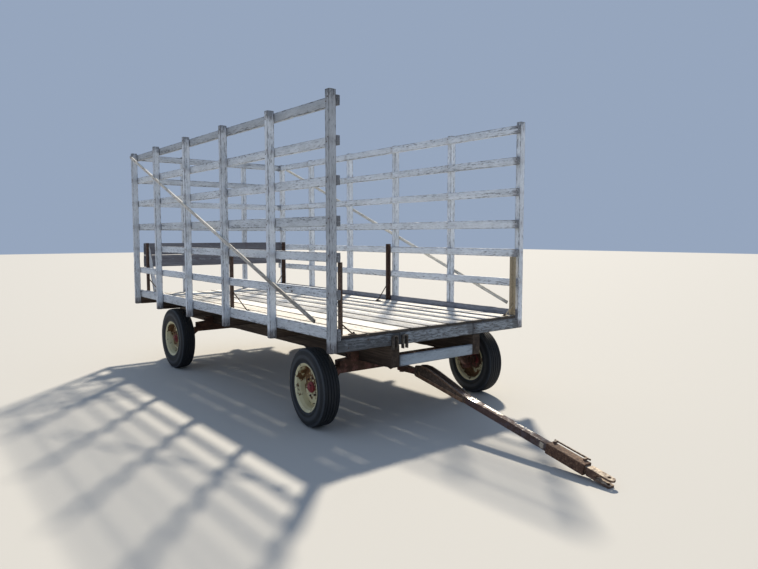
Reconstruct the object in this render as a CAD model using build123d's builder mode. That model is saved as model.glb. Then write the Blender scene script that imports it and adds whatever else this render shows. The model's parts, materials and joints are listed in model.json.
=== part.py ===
# Hay wagon: a slatted bale rack and a plank deck on a four-wheel running gear with a telescoping tongue.
# Millimetres. X runs forward to the tongue, Y to the wagon's left, Z up from the ground.
# The origin is under the middle of the overall box. The front wheels and the tongue stand a little
# to the right of straight ahead, and the tongue lies with its lower jaw on the ground.

from build123d import *
from math import asin, atan2, cos, degrees, hypot, radians, sin
import os

os.makedirs("parts", exist_ok=True)

# Bed and rack, outside sizes
bed_length = 4940
bed_width = 2438
deck_rise = 887
deck_thick = 25
deck_board_count = 9
deck_gap = 14
cross_sill_deep = 115
cross_sill_thick = 50
long_sill_deep = 203
long_sill_wide = 100
long_sill_spread = 1040
spreader_deep = 102
spreader_thick = 38
header_kerf = 3

# Rack lumber
post_thick = 58
post_deep = 75
post_pitch = 1000
post_above_rail = 20
front_post_extra = 20
rail_thick = 38
rim_deep = 104
rim_above_deck = 60
plank_thick = 30
rear_post_spread = 970
brace_wide = 38
brace_thick = 19
brace_foot_inset = 210
brace_foot_rise = 108
brace_head_inset = 20
brace_head_drop = 30
knee_wide = 60
knee_thick = 22
knee_height = 728
knee_reach = 150
knee_side_gap = 10
board_clear = 2
spreader_drop = 96
broken_row = 1
broken_stub = 95
break_lean = 30

# Bent straps on the front header at the right long sill. Columns: off that sill's middle
strap_wide = 58
strap_reach = 34
strap_iron = 12
strap_height = 125
strap_below = 30
strap_offsets = (-24, 90)

# Angle irons that stand inside the rack
iron_leg = 45
iron_wall = 5
iron_rod_radius = 6
iron_foot = 60
iron_foot_thick = 6
iron_front_inset = 3
iron_rear_gap = 60
iron_post = 2
# From the front back. Columns: height of the iron, of its stay's head, the stay's run to its foot
iron_rows = ((607, 110, 130), (720, 250, 190), (720, 250, 190))

# Pieces that are welded run this far into each other, and cuts run as far past an edge
weld_bite = 1
cut_past = 1

# Running gear
front_wheel_radius = 355
rear_wheel_radius = 385
wheelbase = 3270
track = 2078
front_axle_setback = 520
beam_wide = 70
beam_deep = 55
beam_bend = 780
arm_rise = 30
arm_drop = 47
neck_gap = 10
boss_bite = 3
bolster_deep = 38
bolster_wide = 90
bolster_half = 785
bolster_end = 60
stake_wide = 90
stake_foot = 69
stake_above_sill = 90
stake_clear = 3
reach_wide = 70
reach_brace_thick = 12
reach_brace_wide = 55
reach_brace_length = 900
reach_brace_spread = 430

# Kingpins, knuckles and spindles
kingpin_inset = 125
kingpin_radius = 15
boss_radius = 30
boss_height = 110
fork_gap = 1
fork_thick = 20
fork_radius = 38
fork_back = 36
fork_back_thick = 20
spindle_radius = 18
spindle_shoulder_radius = 28
spindle_end_gap = 6
running_fit = 0.05

# Steering yoke, rods and their studs. The steering arms point behind the axle
rest_steer = -5.4
hitch_arm = 330
hitch_rise = 45
yoke_thick = 50
yoke_radius = 48
yoke_nose_radius = 22
yoke_nose_back = 46
yoke_arm_thick = 20
yoke_pin_radius = 15
yoke_collar_radius = 26
yoke_collar_thick = 15
yoke_collar_gap = 5
steer_arm = 200
steer_arm_root = 24
stud_radius = 10
stud_end = 8
eye_radius = 22
eye_thick = 22
eye_gap = 6
eye_seat = 2
rod_radius = 10.5
open_eye_clear = 1

# Tongue
tongue_length = 2192
tube_size = 62
tube_wall = 5.5
tube_start = 130
sleeve_start = 1612
sleeve_length = 350
sleeve_size = 84
sleeve_corner = 8
sleeve_past_tube = 10
hound_plate = 10
hinge_pin_radius = 12
hinge_pin_head = 9
barrel_radius = 30
barrel_clear = 1
slide_clear = 0.5
head_inside = 330
jaw_half = 32
jaw_thick = 16
jaw_deep = 135
jaw_lower_short = 15
clevis_gap = 20
hitch_bore_radius = 13.5
hitch_bore_back = 45
latch_rod_radius = 7
latch_out = 10
latch_up = 8
latch_lug = 12
latch_lug_deep = 16
latch_back_inset = 20
latch_front_inset = 50

# Hound plates on both sides of the tube, deep at the hinge. Columns: along the tongue, above its middle
hound_corner = 22
hound_outline = (
    (-66, -44),
    (190, -38),
    (670, -tube_size / 2),
    (670, tube_size / 2),
    (436, 65),
    (211, 92),
    (100, 98),
    (20, 88),
    (-66, 58),
)

# Wheels
tyre_bead_radius = 204
tyre_bead_inset = 8
tyre_half_wide = 95
tyre_tread_half = 78
tyre_wall_deep = 93
tyre_shoulder_deep = 55
rim_radius = 222
rim_half_wide = 80
rim_wall = 6
rim_disc = 6
rim_disc_radius = 115
rim_dish = 26
rim_lip = 5
hub_flange_radius = 95
hub_flange = 8
hub_seat = 12
hub_barrel_radius = 42
hub_pilot_radius = 50
hub_pilot = 25
hub_cap_radius = 34
hub_cap = 17
hub_end_wall = 6
hub_back = 50
hub_gap = 5
seat_clear = 0.5

# Rails from the lowest up. Columns: centre above the deck, height of the board
rail_rows = ((340, 84), (647, 84), (945, 92), (1274, 84), (1592, 84), (1908, 86))
# The rear rack has rails at the four upper rows and two wide planks under them.
# Columns: lower edge above the deck, height of the plank
plank_rows = ((382, 168), (552, 168))
# Deck joints counted from the right rim board: how far each stands off even spacing
joint_shifts = (0, 35, 8, 21, 4, -3, 10, 5, -8, 0)
# How far each deck board's front end stands past the header
board_leads = (0, 6, 2, 9, 4, 12, 3, 8, 5)
sides = (("right", -1), ("left", 1))

# Heights
sill_bottom = deck_rise - deck_thick - cross_sill_deep - long_sill_deep
cross_bottom = sill_bottom + long_sill_deep
deck_bottom = cross_bottom + cross_sill_deep
deck_top = deck_bottom + deck_thick
beam_top = sill_bottom - bolster_deep
beam_bottom = beam_top - beam_deep
rail_top = deck_top + rail_rows[-1][0] + rail_rows[-1][1] / 2
post_top = rail_top + post_above_rail
boss_bottom = front_wheel_radius - boss_height / 2
hitch_height = front_wheel_radius + hitch_rise

# The tongue's droop lays the lower jaw's end on the ground
jaw_lower_length = tongue_length - jaw_lower_short
tongue_droop = asin(hitch_height / hypot(jaw_lower_length, jaw_half)) - atan2(jaw_half, jaw_lower_length)

# The furthest point of the upper jaw ahead of the bed, and with it the place of the bed in the box
steer = radians(rest_steer)
tip_reach = (
    -front_axle_setback
    + hitch_arm * cos(steer)
    + (tongue_length - jaw_half) * cos(tongue_droop) * cos(steer)
    + jaw_half * hypot(cos(tongue_droop) * cos(steer), sin(steer))
    + jaw_half * sin(tongue_droop) * cos(steer)
)
bed_front = bed_length - (bed_length + tip_reach) / 2
bed_rear = bed_front - bed_length
front_axle_x = bed_front - front_axle_setback
rear_axle_x = front_axle_x - wheelbase

# Widths from the middle out
half_width = bed_width / 2
post_inner = half_width - post_deep
rail_inner = post_inner - rail_thick
deck_half = rail_inner
long_sill_inner = long_sill_spread / 2 - long_sill_wide / 2
long_sill_outer = long_sill_inner + long_sill_wide
wheel_y = track / 2
kingpin_y = wheel_y - kingpin_inset
spindle_base = kingpin_y + fork_back + fork_back_thick
shoulder_end = wheel_y - hub_back - hub_gap
spindle_end = wheel_y + hub_seat + hub_pilot + hub_cap - hub_end_wall - spindle_end_gap

# Posts stand at each cross sill: from the front at one pitch, and at the rear end
post_count = int((bed_length - 2 * post_thick) // post_pitch) + 1
post_backs = [bed_front - post_thick - i * post_pitch for i in range(post_count)] + [bed_rear]


# Adds one board to the piece being built, from its limits along X, Y and Z
def board(x_limits, y_limits, z_limits, mode=Mode.ADD):
    limits = (x_limits, y_limits, z_limits)
    with Locations(tuple((low + high) / 2 for low, high in limits)):
        Box(*[abs(high - low) for low, high in limits], mode=mode)


# A strip from one point to another on the sketch being drawn
def strip(start, end, width):
    run, rise = end[0] - start[0], end[1] - start[1]
    with Locations(((start[0] + end[0]) / 2, (start[1] + end[1]) / 2)):
        Rectangle(hypot(run, rise), width, rotation=degrees(atan2(rise, run)))


# A plane that stands along a frame's x axis, y to its left, and faces right
def beside(frame, y):
    return Plane(frame.from_local_coords((0, y, 0)), x_dir=frame.x_dir, z_dir=-frame.y_dir)


# A plane that faces forward, x along a frame
def across(frame, x):
    return Plane(frame.from_local_coords((x, 0, 0)), x_dir=frame.y_dir, z_dir=frame.x_dir)


# A round bar between two points, added to the piece being built
def bar(start, end, radius):
    run = Vector(*end) - Vector(*start)
    with Locations(Plane(start, z_dir=run).location):
        Cylinder(radius, run.length, align=(Align.CENTER, Align.CENTER, Align.MIN))


def write(name, built):
    built.part.label = name
    export_step(built.part, f"parts/{name}.step")


# Deck boards run the length of the bed, with open joints and uneven front ends
deck_pitch = 2 * deck_half / deck_board_count
joints = [i * deck_pitch - deck_half + joint_shifts[i] for i in range(deck_board_count + 1)]
deck_rear = bed_rear + post_deep + board_clear
with BuildPart() as deck_boards:
    for lead, low, high in zip(board_leads, joints, joints[1:]):
        edges = (low + deck_gap / 2, high - deck_gap / 2)
        board((deck_rear, bed_front + lead), edges, (deck_bottom, deck_top))
write("deck_boards", deck_boards)

# Rim boards stand along the deck's edges in notches of the cross sills
rim_top = deck_top + rim_above_deck
rim_bottom = rim_top - rim_deep
with BuildPart() as rim_boards:
    for _, side in sides:
        board((bed_rear, bed_front), (side * rail_inner, side * post_inner), (rim_bottom, rim_top))
write("rim_boards", rim_boards)


def rim_notches():
    for _, side in sides:
        edges = (side * rail_inner, side * (post_inner + cut_past))
        board((bed_rear, bed_front), edges, (rim_bottom, deck_top), mode=Mode.SUBTRACT)


# The front header is in three lengths, butted at the long sills' inner faces
with BuildPart() as front_header:
    cuts = (-post_inner, -long_sill_inner, long_sill_inner, post_inner)
    for low, high in zip(cuts, cuts[1:]):
        edges = (low + header_kerf / 2 * (low > cuts[0]), high - header_kerf / 2 * (high < cuts[-1]))
        board((bed_front - cross_sill_thick, bed_front), edges, (cross_bottom, deck_bottom))
    rim_notches()
write("front_header", front_header)

# Cross sills, one under each pair of posts, the rear header among them
with BuildPart() as cross_sills:
    for back in post_backs[1:]:
        board((back, back + cross_sill_thick), (-post_inner, post_inner), (cross_bottom, deck_bottom))
    rim_notches()
write("cross_sills", cross_sills)

with BuildPart() as long_sills:
    for _, side in sides:
        edges = (side * long_sill_inner, side * long_sill_outer)
        board((bed_rear, bed_front), edges, (sill_bottom, cross_bottom))
write("long_sills", long_sills)

# A painted board keeps the front ends of the long sills apart
with BuildPart() as spreader_board:
    board(
        (bed_front - spreader_thick, bed_front),
        (-long_sill_inner, long_sill_inner),
        (cross_bottom - spreader_drop - spreader_deep, cross_bottom - spreader_drop),
    )
write("spreader_board", spreader_board)

# Two straps bent to a narrow arch stand off the header near the right long sill
strap_bottom = cross_bottom - strap_below
strap_places = [offset - long_sill_spread / 2 for offset in strap_offsets]
with BuildPart() as header_irons:
    with BuildSketch(Plane.YZ.offset(bed_front)) as arches:
        with Locations([(y, strap_bottom + strap_height / 2) for y in strap_places]):
            Rectangle(strap_wide, strap_height)
        fillet(arches.vertices().group_by(Axis.Y)[-1], strap_wide / 3)
        with Locations([(y, strap_bottom + (strap_height - strap_iron) / 2) for y in strap_places]):
            Rectangle(strap_wide - 2 * strap_iron, strap_height - strap_iron, mode=Mode.SUBTRACT)
    extrude(amount=strap_reach)
write("header_irons", header_irons)

# Posts outside the rails, their feet down to the bottom of the cross sills
for name, side in sides:
    with BuildPart() as posts:
        for back in post_backs:
            top = post_top + front_post_extra * (back == post_backs[0])
            edges = (side * post_inner, side * half_width)
            board((back, back + post_thick), edges, (cross_bottom, top))
    write(f"side_posts_{name}", posts)

# Side rails. The right side's second rail is broken off behind the fifth post
for name, side in sides:
    with BuildPart() as rails:
        with BuildSketch(Plane.YZ.offset(bed_rear)):
            for rise, height in rail_rows:
                with Locations((side * (rail_inner + post_inner) / 2, deck_top + rise)):
                    Rectangle(rail_thick, height)
        extrude(amount=bed_length)
        if name == "right":
            rise, height = rail_rows[broken_row]
            low, high = deck_top + rise - height / 2, deck_top + rise + height / 2
            end = post_backs[-2] - broken_stub
            with BuildSketch(Plane.XZ):
                with BuildLine():
                    Polyline(
                        (bed_rear - cut_past, low - cut_past),
                        (end + break_lean, low - cut_past),
                        (end, (low + high) / 2),
                        (end + break_lean / 2, high + cut_past),
                        (bed_rear - cut_past, high + cut_past),
                        close=True,
                    )
                make_face()
            extrude(amount=bed_width / 2, mode=Mode.SUBTRACT)
    write(f"side_rails_{name}", rails)

# One long diagonal on the outside of each row of posts, from the rear top to the front foot
brace_front = (bed_front - brace_foot_inset, deck_top + brace_foot_rise)
brace_rear = (bed_rear + brace_head_inset, rail_top - brace_head_drop)
with BuildPart() as side_braces:
    for _, side in sides:
        with BuildSketch(Plane.XZ.offset(-side * half_width)):
            strip(brace_front, brace_rear, brace_wide)
        extrude(amount=-side * brace_thick)
write("side_braces", side_braces)

# Rear rack: two posts on the rear sill, with rails and planks on their inner faces
rear_rail_front = bed_rear + post_deep + rail_thick
with BuildPart() as rear_posts:
    for _, side in sides:
        middle = side * rear_post_spread / 2
        edges = (middle - post_thick / 2, middle + post_thick / 2)
        board((bed_rear, bed_rear + post_deep), edges, (deck_bottom, post_top))
write("rear_posts", rear_posts)

rear_half = rail_inner - board_clear
with BuildPart() as rear_rails:
    for rise, height in rail_rows[2:]:
        edges = (deck_top + rise - height / 2, deck_top + rise + height / 2)
        board((bed_rear + post_deep, rear_rail_front), (-rear_half, rear_half), edges)
write("rear_rails", rear_rails)

plank_front = bed_rear + post_deep + plank_thick
with BuildPart() as rear_planks:
    for rise, height in plank_rows:
        edges = (deck_top + rise, deck_top + rise + height)
        board((bed_rear + post_deep, plank_front), (-rear_half, rear_half), edges)
write("rear_planks", rear_planks)

# A short raking strip inside the planks at the right rear corner, its foot cut level on the deck
knee_head = (-rear_half + knee_wide / 2 + knee_side_gap, deck_top + knee_height)
knee_foot = (-rear_half + knee_reach, deck_top)
with BuildPart() as rear_knee_brace:
    with BuildSketch(Plane.YZ.offset(plank_front)):
        with BuildLine():
            Polyline(
                (knee_head[0] - knee_wide / 2, knee_head[1]),
                (knee_head[0] + knee_wide / 2, knee_head[1]),
                (knee_foot[0] + knee_wide / 2, knee_foot[1]),
                (knee_foot[0] - knee_wide / 2, knee_foot[1]),
                close=True,
            )
        make_face()
    extrude(amount=knee_thick)
write("rear_knee_brace", rear_knee_brace)

# Angle irons stand on the deck against the rails, each with a round stay to a foot plate
iron_backs = (
    bed_front - iron_front_inset - iron_leg,
    post_backs[iron_post] - iron_leg / 2,
    plank_front + knee_thick + iron_rear_gap,
)
foot_top = deck_top + iron_foot_thick
with BuildPart() as rack_irons:
    for _, side in sides:
        wall = side * rail_inner
        leg_tip = wall - side * iron_leg
        heel = wall - side * iron_wall
        for back, (height, rise, run) in zip(iron_backs, iron_rows):
            board((back, back + iron_leg), (wall, heel), (deck_top, deck_top + height))
            board((back, back + iron_wall), (wall, leg_tip), (deck_top, deck_top + height))
            middle = back + iron_leg / 2
            foot_y = side * (rail_inner - run)
            board((back, back + iron_leg), (foot_y - iron_foot / 2, foot_y + iron_foot / 2), (deck_top, foot_top))
            start = (middle, heel + side * weld_bite, deck_top + rise)
            bar(start, (middle, foot_y, foot_top + weld_bite), iron_rod_radius)
write("rack_irons", rack_irons)

# Bolsters lie on the axle beams and hold the long sills between their stakes
stake_inner = long_sill_outer + stake_clear
stake_outer = stake_inner + stake_wide
stake_top = sill_bottom + stake_above_sill
for name, x in (("front_bolster", front_axle_x), ("rear_bolster", rear_axle_x)):
    with BuildPart() as bolster:
        with BuildSketch(Plane.YZ.offset(x)):
            with BuildLine():
                Polyline(
                    (0, beam_top),
                    (bolster_half, beam_top),
                    (bolster_half, beam_top + bolster_end),
                    (stake_outer, beam_top + stake_foot),
                    (stake_outer, stake_top),
                    (stake_inner, stake_top),
                    (stake_inner, sill_bottom),
                    (0, sill_bottom),
                )
                mirror(about=Plane.YZ)
            make_face()
        extrude(amount=bolster_wide / 2, both=True)
    write(name, bolster)

# The beams run straight under the bolsters and drop steeply to the wheel centres
arm_half = beam_wide / 2
boss_edge = kingpin_y - kingpin_radius - boss_bite
neck_y = kingpin_y - fork_radius - neck_gap
arm_top = front_wheel_radius + arm_rise
arm_bottom = front_wheel_radius - arm_drop
beam_half = (
    (0, beam_bottom),
    (beam_bend, beam_bottom),
    (boss_edge, arm_bottom),
    (boss_edge, arm_top),
    (neck_y, arm_top),
    (beam_bend + beam_deep / 2, beam_top),
    (0, beam_top),
)
yoke_bottom = hitch_height - yoke_thick / 2
yoke_top = yoke_bottom + yoke_thick
collar_bottom = yoke_bottom - yoke_collar_gap - yoke_collar_thick
with BuildPart() as front_axle:
    with BuildSketch(Plane.YZ.offset(front_axle_x)):
        with BuildLine():
            Polyline(*beam_half)
            mirror(about=Plane.YZ)
        make_face()
    extrude(amount=arm_half, both=True)
    with BuildSketch(Plane.XY.offset(boss_bottom)):
        with Locations((front_axle_x, -kingpin_y), (front_axle_x, kingpin_y)):
            Circle(boss_radius)
    extrude(amount=boss_height)
    with BuildSketch(Plane.XY.offset(boss_bottom)):
        with Locations((front_axle_x, -kingpin_y), (front_axle_x, kingpin_y)):
            Circle(kingpin_radius + running_fit)
    extrude(amount=boss_height, mode=Mode.SUBTRACT)
    with BuildSketch(Plane.XY.offset(collar_bottom)):
        with Locations((front_axle_x, 0)):
            Circle(yoke_pin_radius)
    extrude(amount=beam_bottom - collar_bottom + weld_bite)
    with BuildSketch(Plane.XY.offset(collar_bottom)):
        with Locations((front_axle_x, 0)):
            Circle(yoke_collar_radius)
    extrude(amount=yoke_collar_thick)
write("front_axle", front_axle)

with BuildPart() as rear_axle:
    with BuildSketch(Plane.YZ.offset(rear_axle_x)):
        with BuildLine():
            Polyline(
                (0, beam_bottom),
                (beam_bend, beam_bottom),
                (kingpin_y, rear_wheel_radius - boss_radius),
                (spindle_base, rear_wheel_radius - boss_radius),
                (spindle_base, rear_wheel_radius + boss_radius),
                (kingpin_y, rear_wheel_radius + boss_radius),
                (beam_bend + beam_deep / 2, beam_top),
                (0, beam_top),
            )
            mirror(about=Plane.YZ)
        make_face()
    extrude(amount=arm_half, both=True)
    for _, side in sides:
        foot = (rear_axle_x, side * (spindle_base - weld_bite), rear_wheel_radius)
        bar(foot, (rear_axle_x, side * shoulder_end, rear_wheel_radius), spindle_shoulder_radius)
        bar(foot, (rear_axle_x, side * spindle_end, rear_wheel_radius), spindle_radius)
write("rear_axle", rear_axle)

# The reach joins the axles, and two flat braces square it to the rear one
reach_front = front_axle_x - arm_half
reach_rear = rear_axle_x + arm_half
with BuildPart() as reach_pole:
    board((reach_rear, reach_front), (-reach_wide / 2, reach_wide / 2), (beam_bottom, beam_top))
write("reach_pole", reach_pole)

brace_level = (beam_bottom + beam_top - reach_brace_thick) / 2
brace_tip = reach_rear + reach_brace_length
with BuildPart() as reach_braces:
    with BuildSketch(Plane.XY.offset(brace_level)):
        for _, side in sides:
            with BuildLine():
                Polyline(
                    (reach_rear, side * reach_brace_spread),
                    (brace_tip, side * reach_wide / 2),
                    (brace_tip - 2 * reach_brace_wide, side * reach_wide / 2),
                    (reach_rear, side * (reach_brace_spread - reach_brace_wide)),
                    close=True,
                )
            make_face()
    extrude(amount=reach_brace_thick)
write("reach_braces", reach_braces)

# Knuckles fork over the axle's bosses. Both are steered to the rest angle with their wheels
ahead = (cos(steer), sin(steer), 0)
fork_bottom = boss_bottom - fork_gap - fork_thick
fork_top = boss_bottom + boss_height + fork_gap
fork_height = fork_top + fork_thick - fork_bottom
eye_bottom = fork_top - eye_seat - eye_thick
knuckle_frames = {side: Plane((front_axle_x, side * kingpin_y, 0), x_dir=ahead) for _, side in sides}
for name, side in sides:
    frame = knuckle_frames[side]
    back = side * (fork_back + fork_back_thick / 2)
    with BuildPart() as knuckle:
        for level in (fork_bottom, fork_top):
            with BuildSketch(frame.offset(level)):
                Circle(fork_radius)
                with Locations((0, back / 2)):
                    Rectangle(2 * fork_radius, abs(back))
            extrude(amount=fork_thick)
        with BuildSketch(frame.offset(fork_bottom)):
            with Locations((0, back)):
                Rectangle(2 * fork_radius, fork_back_thick)
        extrude(amount=fork_height)
        with BuildSketch(frame.offset(fork_top)):
            Circle(steer_arm_root)
            with Locations((-steer_arm, 0)):
                Circle(eye_radius)
            make_hull()
        extrude(amount=fork_thick)
        with BuildSketch(frame.offset(fork_bottom)):
            Circle(kingpin_radius)
        extrude(amount=fork_height)
        with BuildSketch(frame.offset(eye_bottom - stud_end)):
            with Locations((-steer_arm, 0)):
                Circle(stud_radius)
        extrude(amount=stud_end + eye_thick + eye_seat + fork_thick)
        foot, shoulder, end = [
            frame.from_local_coords((0, side * (reach_y - kingpin_y), front_wheel_radius))
            for reach_y in (spindle_base - weld_bite, shoulder_end, spindle_end)
        ]
        bar(foot, shoulder, spindle_shoulder_radius)
        bar(foot, end, spindle_radius)
    write(f"knuckle_{name}", knuckle)

# The yoke swings on the axle's middle pin. A barrel for the tongue's hinge is on its nose, and the
# rods' stud hangs from an arm behind the axle
yoke_frame = Plane((front_axle_x, 0, 0), x_dir=ahead)
upper_eye = yoke_top - yoke_arm_thick - eye_seat - eye_thick
lower_eye = upper_eye - eye_gap - eye_thick
with BuildPart() as steering_yoke:
    with BuildSketch(yoke_frame.offset(yoke_bottom)):
        Circle(yoke_radius)
        with Locations((hitch_arm - yoke_nose_back, 0)):
            Circle(yoke_nose_radius)
        make_hull()
    extrude(amount=yoke_thick)
    with BuildSketch(yoke_frame.offset(yoke_top - yoke_arm_thick)):
        Circle(steer_arm_root)
        with Locations((-steer_arm, 0)):
            Circle(eye_radius)
        make_hull()
    extrude(amount=yoke_arm_thick)
    barrel_plane = beside(yoke_frame, tube_size / 2 - barrel_clear)
    with BuildSketch(barrel_plane):
        with Locations((hitch_arm, hitch_height)):
            Circle(barrel_radius)
    extrude(amount=tube_size - 2 * barrel_clear)
    with BuildSketch(barrel_plane):
        with Locations((hitch_arm, hitch_height)):
            Circle(hinge_pin_radius + running_fit)
    extrude(amount=tube_size - 2 * barrel_clear, mode=Mode.SUBTRACT)
    with BuildSketch(yoke_frame.offset(yoke_bottom)):
        Circle(yoke_pin_radius + running_fit)
    extrude(amount=yoke_thick, mode=Mode.SUBTRACT)
    with BuildSketch(yoke_frame.offset(lower_eye - stud_end)):
        with Locations((-steer_arm, 0)):
            Circle(stud_radius)
    extrude(amount=yoke_top - lower_eye + stud_end)
write("steering_yoke", steering_yoke)

# Rods from the yoke's stud to the knuckle arms, one eye above the other on the stud
stud = yoke_frame.from_local_coords((-steer_arm, 0, 0))
for (name, side), eye in zip(sides, (upper_eye, lower_eye)):
    outer = knuckle_frames[side].from_local_coords((-steer_arm, 0, 0))
    start = Vector(stud.X, stud.Y, eye + eye_thick / 2)
    end = Vector(outer.X, outer.Y, eye_bottom + eye_thick / 2)
    with BuildPart() as tie_rod:
        bar(start, end, rod_radius)
        for place, level, bore in ((start, eye, running_fit), (end, eye_bottom, open_eye_clear)):
            with BuildSketch(Plane.XY.offset(level)):
                with Locations((place.X, place.Y)):
                    Circle(eye_radius)
            extrude(amount=eye_thick)
            with BuildSketch(Plane.XY.offset(level - eye_thick)):
                with Locations((place.X, place.Y)):
                    Circle(stud_radius + bore)
            extrude(amount=3 * eye_thick, mode=Mode.SUBTRACT)
    write(f"tie_rod_{name}", tie_rod)

# The tongue's frame: origin in the hinge pin, x down the tongue to the jaw
hinge = yoke_frame.from_local_coords((hitch_arm, 0, hitch_height))
down_tongue = Vector(cos(steer) * cos(tongue_droop), sin(steer) * cos(tongue_droop), -sin(tongue_droop))
tongue_frame = Plane(hinge, x_dir=down_tongue, z_dir=down_tongue.cross(Vector(-sin(steer), cos(steer), 0)))

# The hound plates carry the tube and turn on the hinge pin in the yoke's barrel
plate_outer = tube_size / 2 + hound_plate
with BuildPart() as tongue_hounds:
    for left_face in (plate_outer, -tube_size / 2):
        with BuildSketch(beside(tongue_frame, left_face)) as plate:
            with BuildLine():
                Polyline(*hound_outline, close=True)
            make_face()
            fillet(plate.vertices(), hound_corner)
        extrude(amount=hound_plate)
    with BuildSketch(beside(tongue_frame, plate_outer + hinge_pin_head)):
        Circle(hinge_pin_radius)
    extrude(amount=2 * (plate_outer + hinge_pin_head))
write("tongue_hounds", tongue_hounds)

# The tongue's square tube, open at both ends, and the sleeve round its front end
sleeve_end = sleeve_start + sleeve_length
with BuildPart() as tongue_tube:
    with BuildSketch(across(tongue_frame, tube_start)):
        Rectangle(tube_size, tube_size)
        Rectangle(tube_size - 2 * tube_wall, tube_size - 2 * tube_wall, mode=Mode.SUBTRACT)
    extrude(amount=sleeve_end - sleeve_past_tube - tube_start)
write("tongue_tube", tongue_tube)

with BuildPart() as tongue_sleeve:
    with BuildSketch(across(tongue_frame, sleeve_start)) as collar:
        Rectangle(sleeve_size, sleeve_size)
        fillet(collar.vertices(), sleeve_corner)
        Rectangle(tube_size, tube_size, mode=Mode.SUBTRACT)
    extrude(amount=sleeve_length)
write("tongue_sleeve", tongue_sleeve)

# A latch rod lies in two lugs on the sleeve
latch_y = sleeve_size / 2 + latch_out
latch_h = sleeve_size / 2 + latch_up
with BuildPart() as tongue_latch:
    for along in (sleeve_start + latch_back_inset, sleeve_end - latch_front_inset):
        with BuildSketch(across(tongue_frame, along)):
            with Locations((latch_y - sleeve_size / 4, latch_h)):
                Rectangle(sleeve_size / 2, latch_lug_deep)
        extrude(amount=latch_lug)
    with BuildSketch(across(tongue_frame, sleeve_start)):
        with Locations((latch_y, latch_h)):
            Circle(latch_rod_radius)
    extrude(amount=sleeve_length - latch_back_inset)
write("tongue_latch", tongue_latch)

# The sliding head: a square bar in the tube, and a clevis of two jaws bored for the hitch pin
bar_size = tube_size - 2 * tube_wall - 2 * slide_clear
clevis_start = sleeve_end + clevis_gap
jaw_centre = tongue_length - jaw_half
with BuildPart() as tongue_head:
    with BuildSketch(across(tongue_frame, sleeve_end - head_inside)):
        Rectangle(bar_size, bar_size)
    extrude(amount=head_inside + clevis_gap + weld_bite)
    with BuildSketch(tongue_frame.offset(-jaw_half)):
        with Locations(((clevis_start + jaw_centre) / 2, 0)):
            Rectangle(jaw_centre - clevis_start, 2 * jaw_half)
        with Locations((jaw_centre, 0)):
            Circle(jaw_half)
    extrude(amount=2 * jaw_half)
    with BuildSketch(beside(tongue_frame, jaw_half + cut_past)):
        with Locations((tongue_length - jaw_deep / 2, 0)):
            Rectangle(jaw_deep, 2 * (jaw_half - jaw_thick))
        with Locations((tongue_length, -jaw_half)):
            Rectangle(2 * jaw_lower_short, 2 * jaw_half)
    extrude(amount=2 * (jaw_half + cut_past), mode=Mode.SUBTRACT)
    with BuildSketch(tongue_frame.offset(-jaw_half - cut_past)):
        with Locations((tongue_length - hitch_bore_back, 0)):
            Circle(hitch_bore_radius)
    extrude(amount=2 * (jaw_half + cut_past), mode=Mode.SUBTRACT)
write("tongue_head", tongue_head)

# Wheel profiles. Columns: outward from the wheel's middle, radius
tyre_seat = rim_half_wide - tyre_bead_inset


def tyre_profile(radius):
    return (
        (-tyre_seat, tyre_bead_radius),
        (-tyre_half_wide, radius - tyre_wall_deep),
        (-tyre_half_wide, radius - tyre_shoulder_deep),
        (-tyre_tread_half, radius),
        (tyre_tread_half, radius),
        (tyre_half_wide, radius - tyre_shoulder_deep),
        (tyre_half_wide, radius - tyre_wall_deep),
        (tyre_seat, tyre_bead_radius),
    )


barrel_outer = tyre_bead_radius - seat_clear
barrel_inner = barrel_outer - rim_wall
disc_front = hub_seat + rim_disc
rim_profile = (
    (-rim_half_wide, rim_radius),
    (-tyre_seat - seat_clear, barrel_outer),
    (tyre_seat + seat_clear, barrel_outer),
    (rim_half_wide, rim_radius),
    (rim_half_wide + rim_lip, rim_radius),
    (tyre_seat + rim_lip, barrel_inner),
    (disc_front - rim_dish, barrel_inner),
    (disc_front, rim_disc_radius),
    (disc_front, hub_pilot_radius + seat_clear),
    (hub_seat, hub_pilot_radius + seat_clear),
    (hub_seat, rim_disc_radius),
    (hub_seat - rim_dish, barrel_inner),
    (-tyre_seat - rim_lip, barrel_inner),
    (-rim_half_wide - rim_lip, rim_radius),
)
pilot_front = hub_seat + hub_pilot
cap_front = pilot_front + hub_cap
bore_radius = spindle_radius + running_fit
hub_profile = (
    (-hub_back, bore_radius),
    (-hub_back, hub_barrel_radius),
    (hub_seat - hub_flange, hub_barrel_radius),
    (hub_seat - hub_flange, hub_flange_radius),
    (hub_seat, hub_flange_radius),
    (hub_seat, hub_pilot_radius),
    (pilot_front, hub_pilot_radius),
    (pilot_front, hub_cap_radius),
    (cap_front, hub_cap_radius),
    (cap_front, 0),
    (cap_front - hub_end_wall, 0),
    (cap_front - hub_end_wall, bore_radius),
)

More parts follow.
